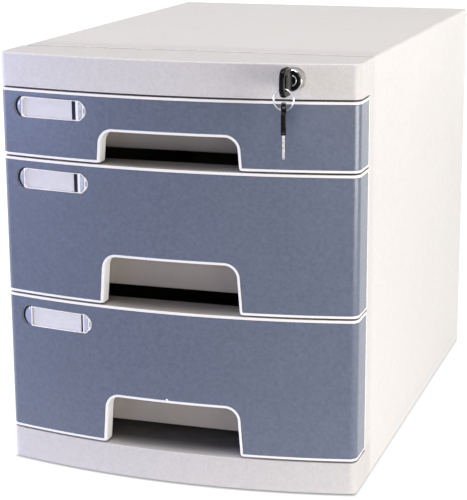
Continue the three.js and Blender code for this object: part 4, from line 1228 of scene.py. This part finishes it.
# ------------------------------------------------------------------ keys
def key_bow_outline():
    h = KEY_H / 2
    c = KEY_RISE
    return rounded(
        [(0, c - h), (KEY_LEN, c - h), (KEY_LEN, -3.6), (KEY_LEN + KEY_NECK, -3.6), (KEY_LEN + KEY_NECK, 3.6), (KEY_LEN, 3.6), (KEY_LEN, c + h), (0, c + h)],
        [7, 5.4, 0.4, 1.2, 1.2, 0.4, 6.6, 7], 12,
    )


def key_panel(d):
    """Outline of the panel in the bow's flat sides, moved in by d."""
    return inset(ccw(rounded([(9.4, KEY_RISE - 7.4), (18.6, KEY_RISE - 6.2), (18.6, KEY_RISE + 6.2), (9.4, KEY_RISE + 7.4)], [1.6, 3.2, 3.2, 1.6], 6)), d)


def key_bow(mapf):
    """Moulded bow: soft edges, a slot for the ring, and a shallow dished panel on each side."""
    slot = rect(SLOT_END + SLOT_W / 2, KEY_RISE, SLOT_W, 2 * SLOT_HALF, 1.6, 8)
    m = lambda a, b, n: mapf(a, b, n - KEY_T / 2)
    bow = slab("bow", [split_long(ccw(key_bow_outline()), 3.0), slot], KEY_T, m, 1.0, 1.0, 5)
    panel = key_panel(0)
    for n0, n1 in ((-0.6, 0.55), (KEY_T - 0.55, KEY_T + 0.6)):
        out = slab("panel", [panel], n1 - n0, lambda a, b, n, n0=n0: m(a, b, n0 + n), 0, 0)
        cut(bow, out)
    pocket = slab("pocket", [rect(KEY_LEN - 6 + 4, 0, 9.4, BLADE_H + 0.3)], BLADE_T + 0.3, lambda a, b, n: mapf(a, b, n - BLADE_T / 2 - 0.15), 0, 0)
    cut(bow, pocket)
    return bow


def key_blade(mapf):
    """Nickel-plated blade with its cuts on both edges and two milled channels."""
    u0 = KEY_LEN - 5.7
    u1 = KEY_LEN + KEY_NECK + BLADE_L
    h = BLADE_H / 2
    top = [(0, h), (9.2, h), (10, h - 0.9), (11.6, h - 0.9), (12.4, h - 0.2), (13.6, h - 1.1), (15, h - 1.1), (15.8, h - 0.4), (17, h - 0.9), (18.4, h - 0.9), (19.4, h - 0.2)]
    pts = [(u0 + u, v) for u, v in top] + [(u1 - 1.6, h - 0.4), (u1, 0.9), (u1, -0.9), (u1 - 1.6, -h + 0.4)] + [(u0 + u, -v) for u, v in reversed(top)]
    outline = ccw(rounded(pts, [0.35] + [0.25] * 10 + [0.7, 0.5, 0.5, 0.7] + [0.25] * 10 + [0.35], 3))
    m = lambda a, b, n: mapf(a, b, n - BLADE_T / 2)
    blade = slab("blade", [outline], BLADE_T, m, 0.18, 0.18, 2)
    for v, n0, n1 in ((1.15, -1.0, 0.42), (-1.15, BLADE_T - 0.42, BLADE_T + 1.0)):
        cut(blade, slab("channel", [rect((u0 + 7 + u1 + 3) / 2, v, u1 + 3 - u0 - 7, 0.9)], n1 - n0, lambda a, b, n, n0=n0: m(a, b, n0 + n), 0, 0))
    return blade


def in_lock(a, b, n):
    return W(LOCK_X + n, KEY_END_Y + a, LOCK_Z + b)


SPARE_AT = (LOCK_X, RING_Y, RING_Z - RING_MEAN + SLOT_END + RING_WIRE + 0.5)


def hanging(a, b, n):
    x, y = n, b - KEY_RISE
    c, s = math.cos(SPARE_YAW), math.sin(SPARE_YAW)
    return W(SPARE_AT[0] + c * x - s * y, SPARE_AT[1] + s * x + c * y, SPARE_AT[2] - a)


# painted reflection: each key gets grey panels on both sides of its black bow, for the sheen of its faces
for mapf, piece, body, node in ((in_lock, "key", "key", "key_bow"), (hanging, "spare_key", "spare_key", "spare_key_bow")):
    for side, n0 in (("left", 0.42 - KEY_T / 2), ("right", KEY_T / 2 - 0.57)):
        sheen_inlay = slab("sheen_inlay", [split_long(key_panel(0.12), 3.0)], 0.15, lambda a, b, n, m=mapf, n0=n0: m(a, b, n0 + n), 0.04, 0.04, 1)
        done(sheen_inlay, f"{piece}_inlay_{side}", "sheen_inlay", body, node, "key_black", angle=40)
done(key_bow(in_lock), "key_handle", "black", "key", "key_bow", "key_black", angle=40)
done(key_blade(in_lock), "key_shaft", "nickel", "key", "key_blade", "key_steel", angle=30)
done(key_bow(hanging), "spare_key_handle", "black", "spare_key", "spare_key_bow", "key_black", angle=40)
done(key_blade(hanging), "spare_key_shaft", "nickel", "spare_key", "spare_key_blade", "key_steel", angle=30)


def split_ring(name, turns=1.94, steps=150, n=12):
    """Flat wire wound almost twice round, its two turns side by side."""
    verts, faces = [], []
    for i in range(steps + 1):
        t = i / steps
        a = math.radians(-60) + t * turns * 2 * math.pi
        side = -0.3 + 0.6 * min(max((t * turns - 0.85) / 0.25, 0), 1)
        grow = 1.0 if 2 <= i <= steps - 2 else (0.6 if i in (0, steps) else 0.9)
        for j in range(n):
            b = 2 * math.pi * j / n
            r = RING_MEAN + 0.5 * math.cos(b) * grow
            y = side + 0.285 * math.sin(b) * grow
            verts.append(W(LOCK_X + r * math.cos(a), RING_Y + y, RING_Z + r * math.sin(a)))
    for i in range(steps):
        for j in range(n):
            k = (j + 1) % n
            faces.append((i * n + j, i * n + k, (i + 1) * n + k, (i + 1) * n + j))
    faces.append(tuple(range(n - 1, -1, -1)))
    faces.append(tuple(range(steps * n, steps * n + n)))
    return make(name, verts, faces)


done(split_ring("ring"), "ring_of_the_keys", "wire", "ring", "key_ring", "lock_chrome", angle=50, weighted=False)

# ------------------------------------------------------------------ lights, floor and camera
scene = bpy.context.scene
CAM_F, CAM_YAW, CAM_PITCH, CAM_ROLL = 1608.99, math.radians(18.23), math.radians(13.98), math.radians(-0.35)
fwd = Vector((-math.sin(CAM_YAW) * math.cos(CAM_PITCH), math.cos(CAM_YAW) * math.cos(CAM_PITCH), -math.sin(CAM_PITCH)))
right = fwd.cross(Vector((0, 0, 1))).normalized()
up = right.cross(fwd)
r2 = right * math.cos(CAM_ROLL) + up * math.sin(CAM_ROLL)
u2 = -right * math.sin(CAM_ROLL) + up * math.cos(CAM_ROLL)
target = Vector((0.0, 207.405, 162.04))
eye = target - (r2 * 21.952 + (-u2) * -30.623 + fwd * 1398.33)
camera = bpy.data.objects.new("camera", bpy.data.cameras.new("camera"))
scene.collection.objects.link(camera)
camera.matrix_world = Matrix.Translation(W(*eye)) @ Matrix((r2, u2, -fwd)).transposed().to_4x4()
camera.data.sensor_fit = "AUTO"
camera.data.sensor_width = 36.0
camera.data.lens = CAM_F / 500 * 36
camera.data.clip_start, camera.data.clip_end = 0.05, 50
scene.camera = camera


def floor_material():
    """Pale sweep that glows softly outside the cabinet's footprint, so that it stays even right round it."""
    mat, nt, bsdf, co = material("floor_pale")
    n = noise(nt, co, 3.0, 4.0, 0.5)
    nt.links.new(ramp(nt, n, [(0.3, (0.24, 0.24, 0.24)), (0.7, (0.25, 0.25, 0.25))]), bsdf.inputs["Base Color"])
    bsdf.inputs["Roughness"].default_value = 0.9
    bsdf.inputs["Specular IOR Level"].default_value = 0.1
    sep = nt.nodes.new("ShaderNodeSeparateXYZ")
    nt.links.new(co, sep.inputs[0])
    half, sag = HALF * 0.001, SAG * 0.001
    across = math_node(nt, "ABSOLUTE", sep.outputs[0])
    u = math_node(nt, "DIVIDE", across, half)
    bow = math_node(nt, "MULTIPLY_ADD", math_node(nt, "MULTIPLY", u, u), sag, SHIFT * 0.001 - sag)
    front = math_node(nt, "SUBTRACT", bow, sep.outputs[1])
    rear = math_node(nt, "SUBTRACT", sep.outputs[1], (SHIFT + DEPTH) * 0.001)
    d = math_node(nt, "MAXIMUM", math_node(nt, "MAXIMUM", front, rear), math_node(nt, "SUBTRACT", across, half))
    bsdf.inputs["Emission Color"].default_value = (1, 1, 1, 1)
    glow = map_range(nt, sep.outputs[1], (SHIFT - 240) * 0.001, (SHIFT - 50) * 0.001, 0.36, 0.82)
    glow = math_node(nt, "ADD", glow, map_range(nt, sep.outputs[1], (SHIFT + 200) * 0.001, (SHIFT + 1400) * 0.001, 0.0, 0.16))
    nt.links.new(math_node(nt, "MULTIPLY", glow, map_range(nt, d, -0.006, 0.002, 0.0, 1.0)), bsdf.inputs["Emission Strength"])
    return mat


floor = bpy.data.objects.new("floor", bpy.data.meshes.new("floor"))
floor.data.from_pydata([(-6, -6, 0), (6, -6, 0), (6, 6, 0), (-6, 6, 0)], [], [(0, 1, 2, 3)])
floor.data.materials.append(floor_material())
scene.collection.objects.link(floor)


def area_light(name, location, aim, size, size_y, power, colour=(1, 1, 1)):
    data = bpy.data.lights.new(name, "AREA")
    data.shape, data.size, data.size_y, data.energy, data.color = "RECTANGLE", size, size_y, power, colour
    obj = bpy.data.objects.new(name, data)
    obj.location = location
    obj.rotation_mode = "QUATERNION"
    obj.rotation_quaternion = (Vector(aim) - Vector(location)).to_track_quat("-Z", "Y")
    scene.collection.objects.link(obj)
    return obj


def from_side(name, direction, distance, size, level, colour):
    """A soft light at a distance from the cabinet; level is what a white sheet facing it would show."""
    d = Vector(direction).normalized()
    aim = Vector((0, 0, 0.16))
    return area_light(name, aim + d * distance, aim, size, size, level * math.pi ** 2 * distance ** 2, colour)


from_side("key_right", (0.90, -0.43, 0.10), 3.0, 1.0, 0.11, (1.0, 0.965, 0.93))
from_side("top_soft", (0.12, -0.05, 0.97), 3.6, 2.6, 1.13, (1.0, 0.98, 0.955))
from_side("front_soft", (0.25, -0.94, 0.22), 3.2, 1.6, 0.20, (1.0, 0.94, 0.90))
from_side("rear_right", (0.36, 0.92, 0.06), 2.4, 1.2, 0.16, (1.0, 0.98, 0.97))
from_side("side_left", (-0.97, -0.12, 0.16), 2.6, 1.0, 0.95, (0.68, 0.71, 1.0))
from_side("fill_left", (-0.75, -0.66, 0.12), 2.8, 1.2, 0.32, (0.49, 0.54, 1.0))

low = Vector((0.9, -0.43, 0.0)).normalized()
area_light("low_strip", Vector((0, 0, 0.16)) + low * 1.15, (0, 0, 0.16), 0.80, 0.31, 0.50 * math.pi ** 2 * 1.15 ** 2, (1.0, 0.965, 0.93))

world = bpy.data.worlds.new("studio")
scene.world = world
world.use_nodes = True
world.node_tree.nodes["Background"].inputs[0].default_value = (1, 1, 1, 1)
world.node_tree.nodes["Background"].inputs[1].default_value = 0.22
scene.view_settings.view_transform = "Standard"
scene.view_settings.look = "None"
scene.view_settings.exposure = 0.0
scene.view_settings.gamma = 1.0
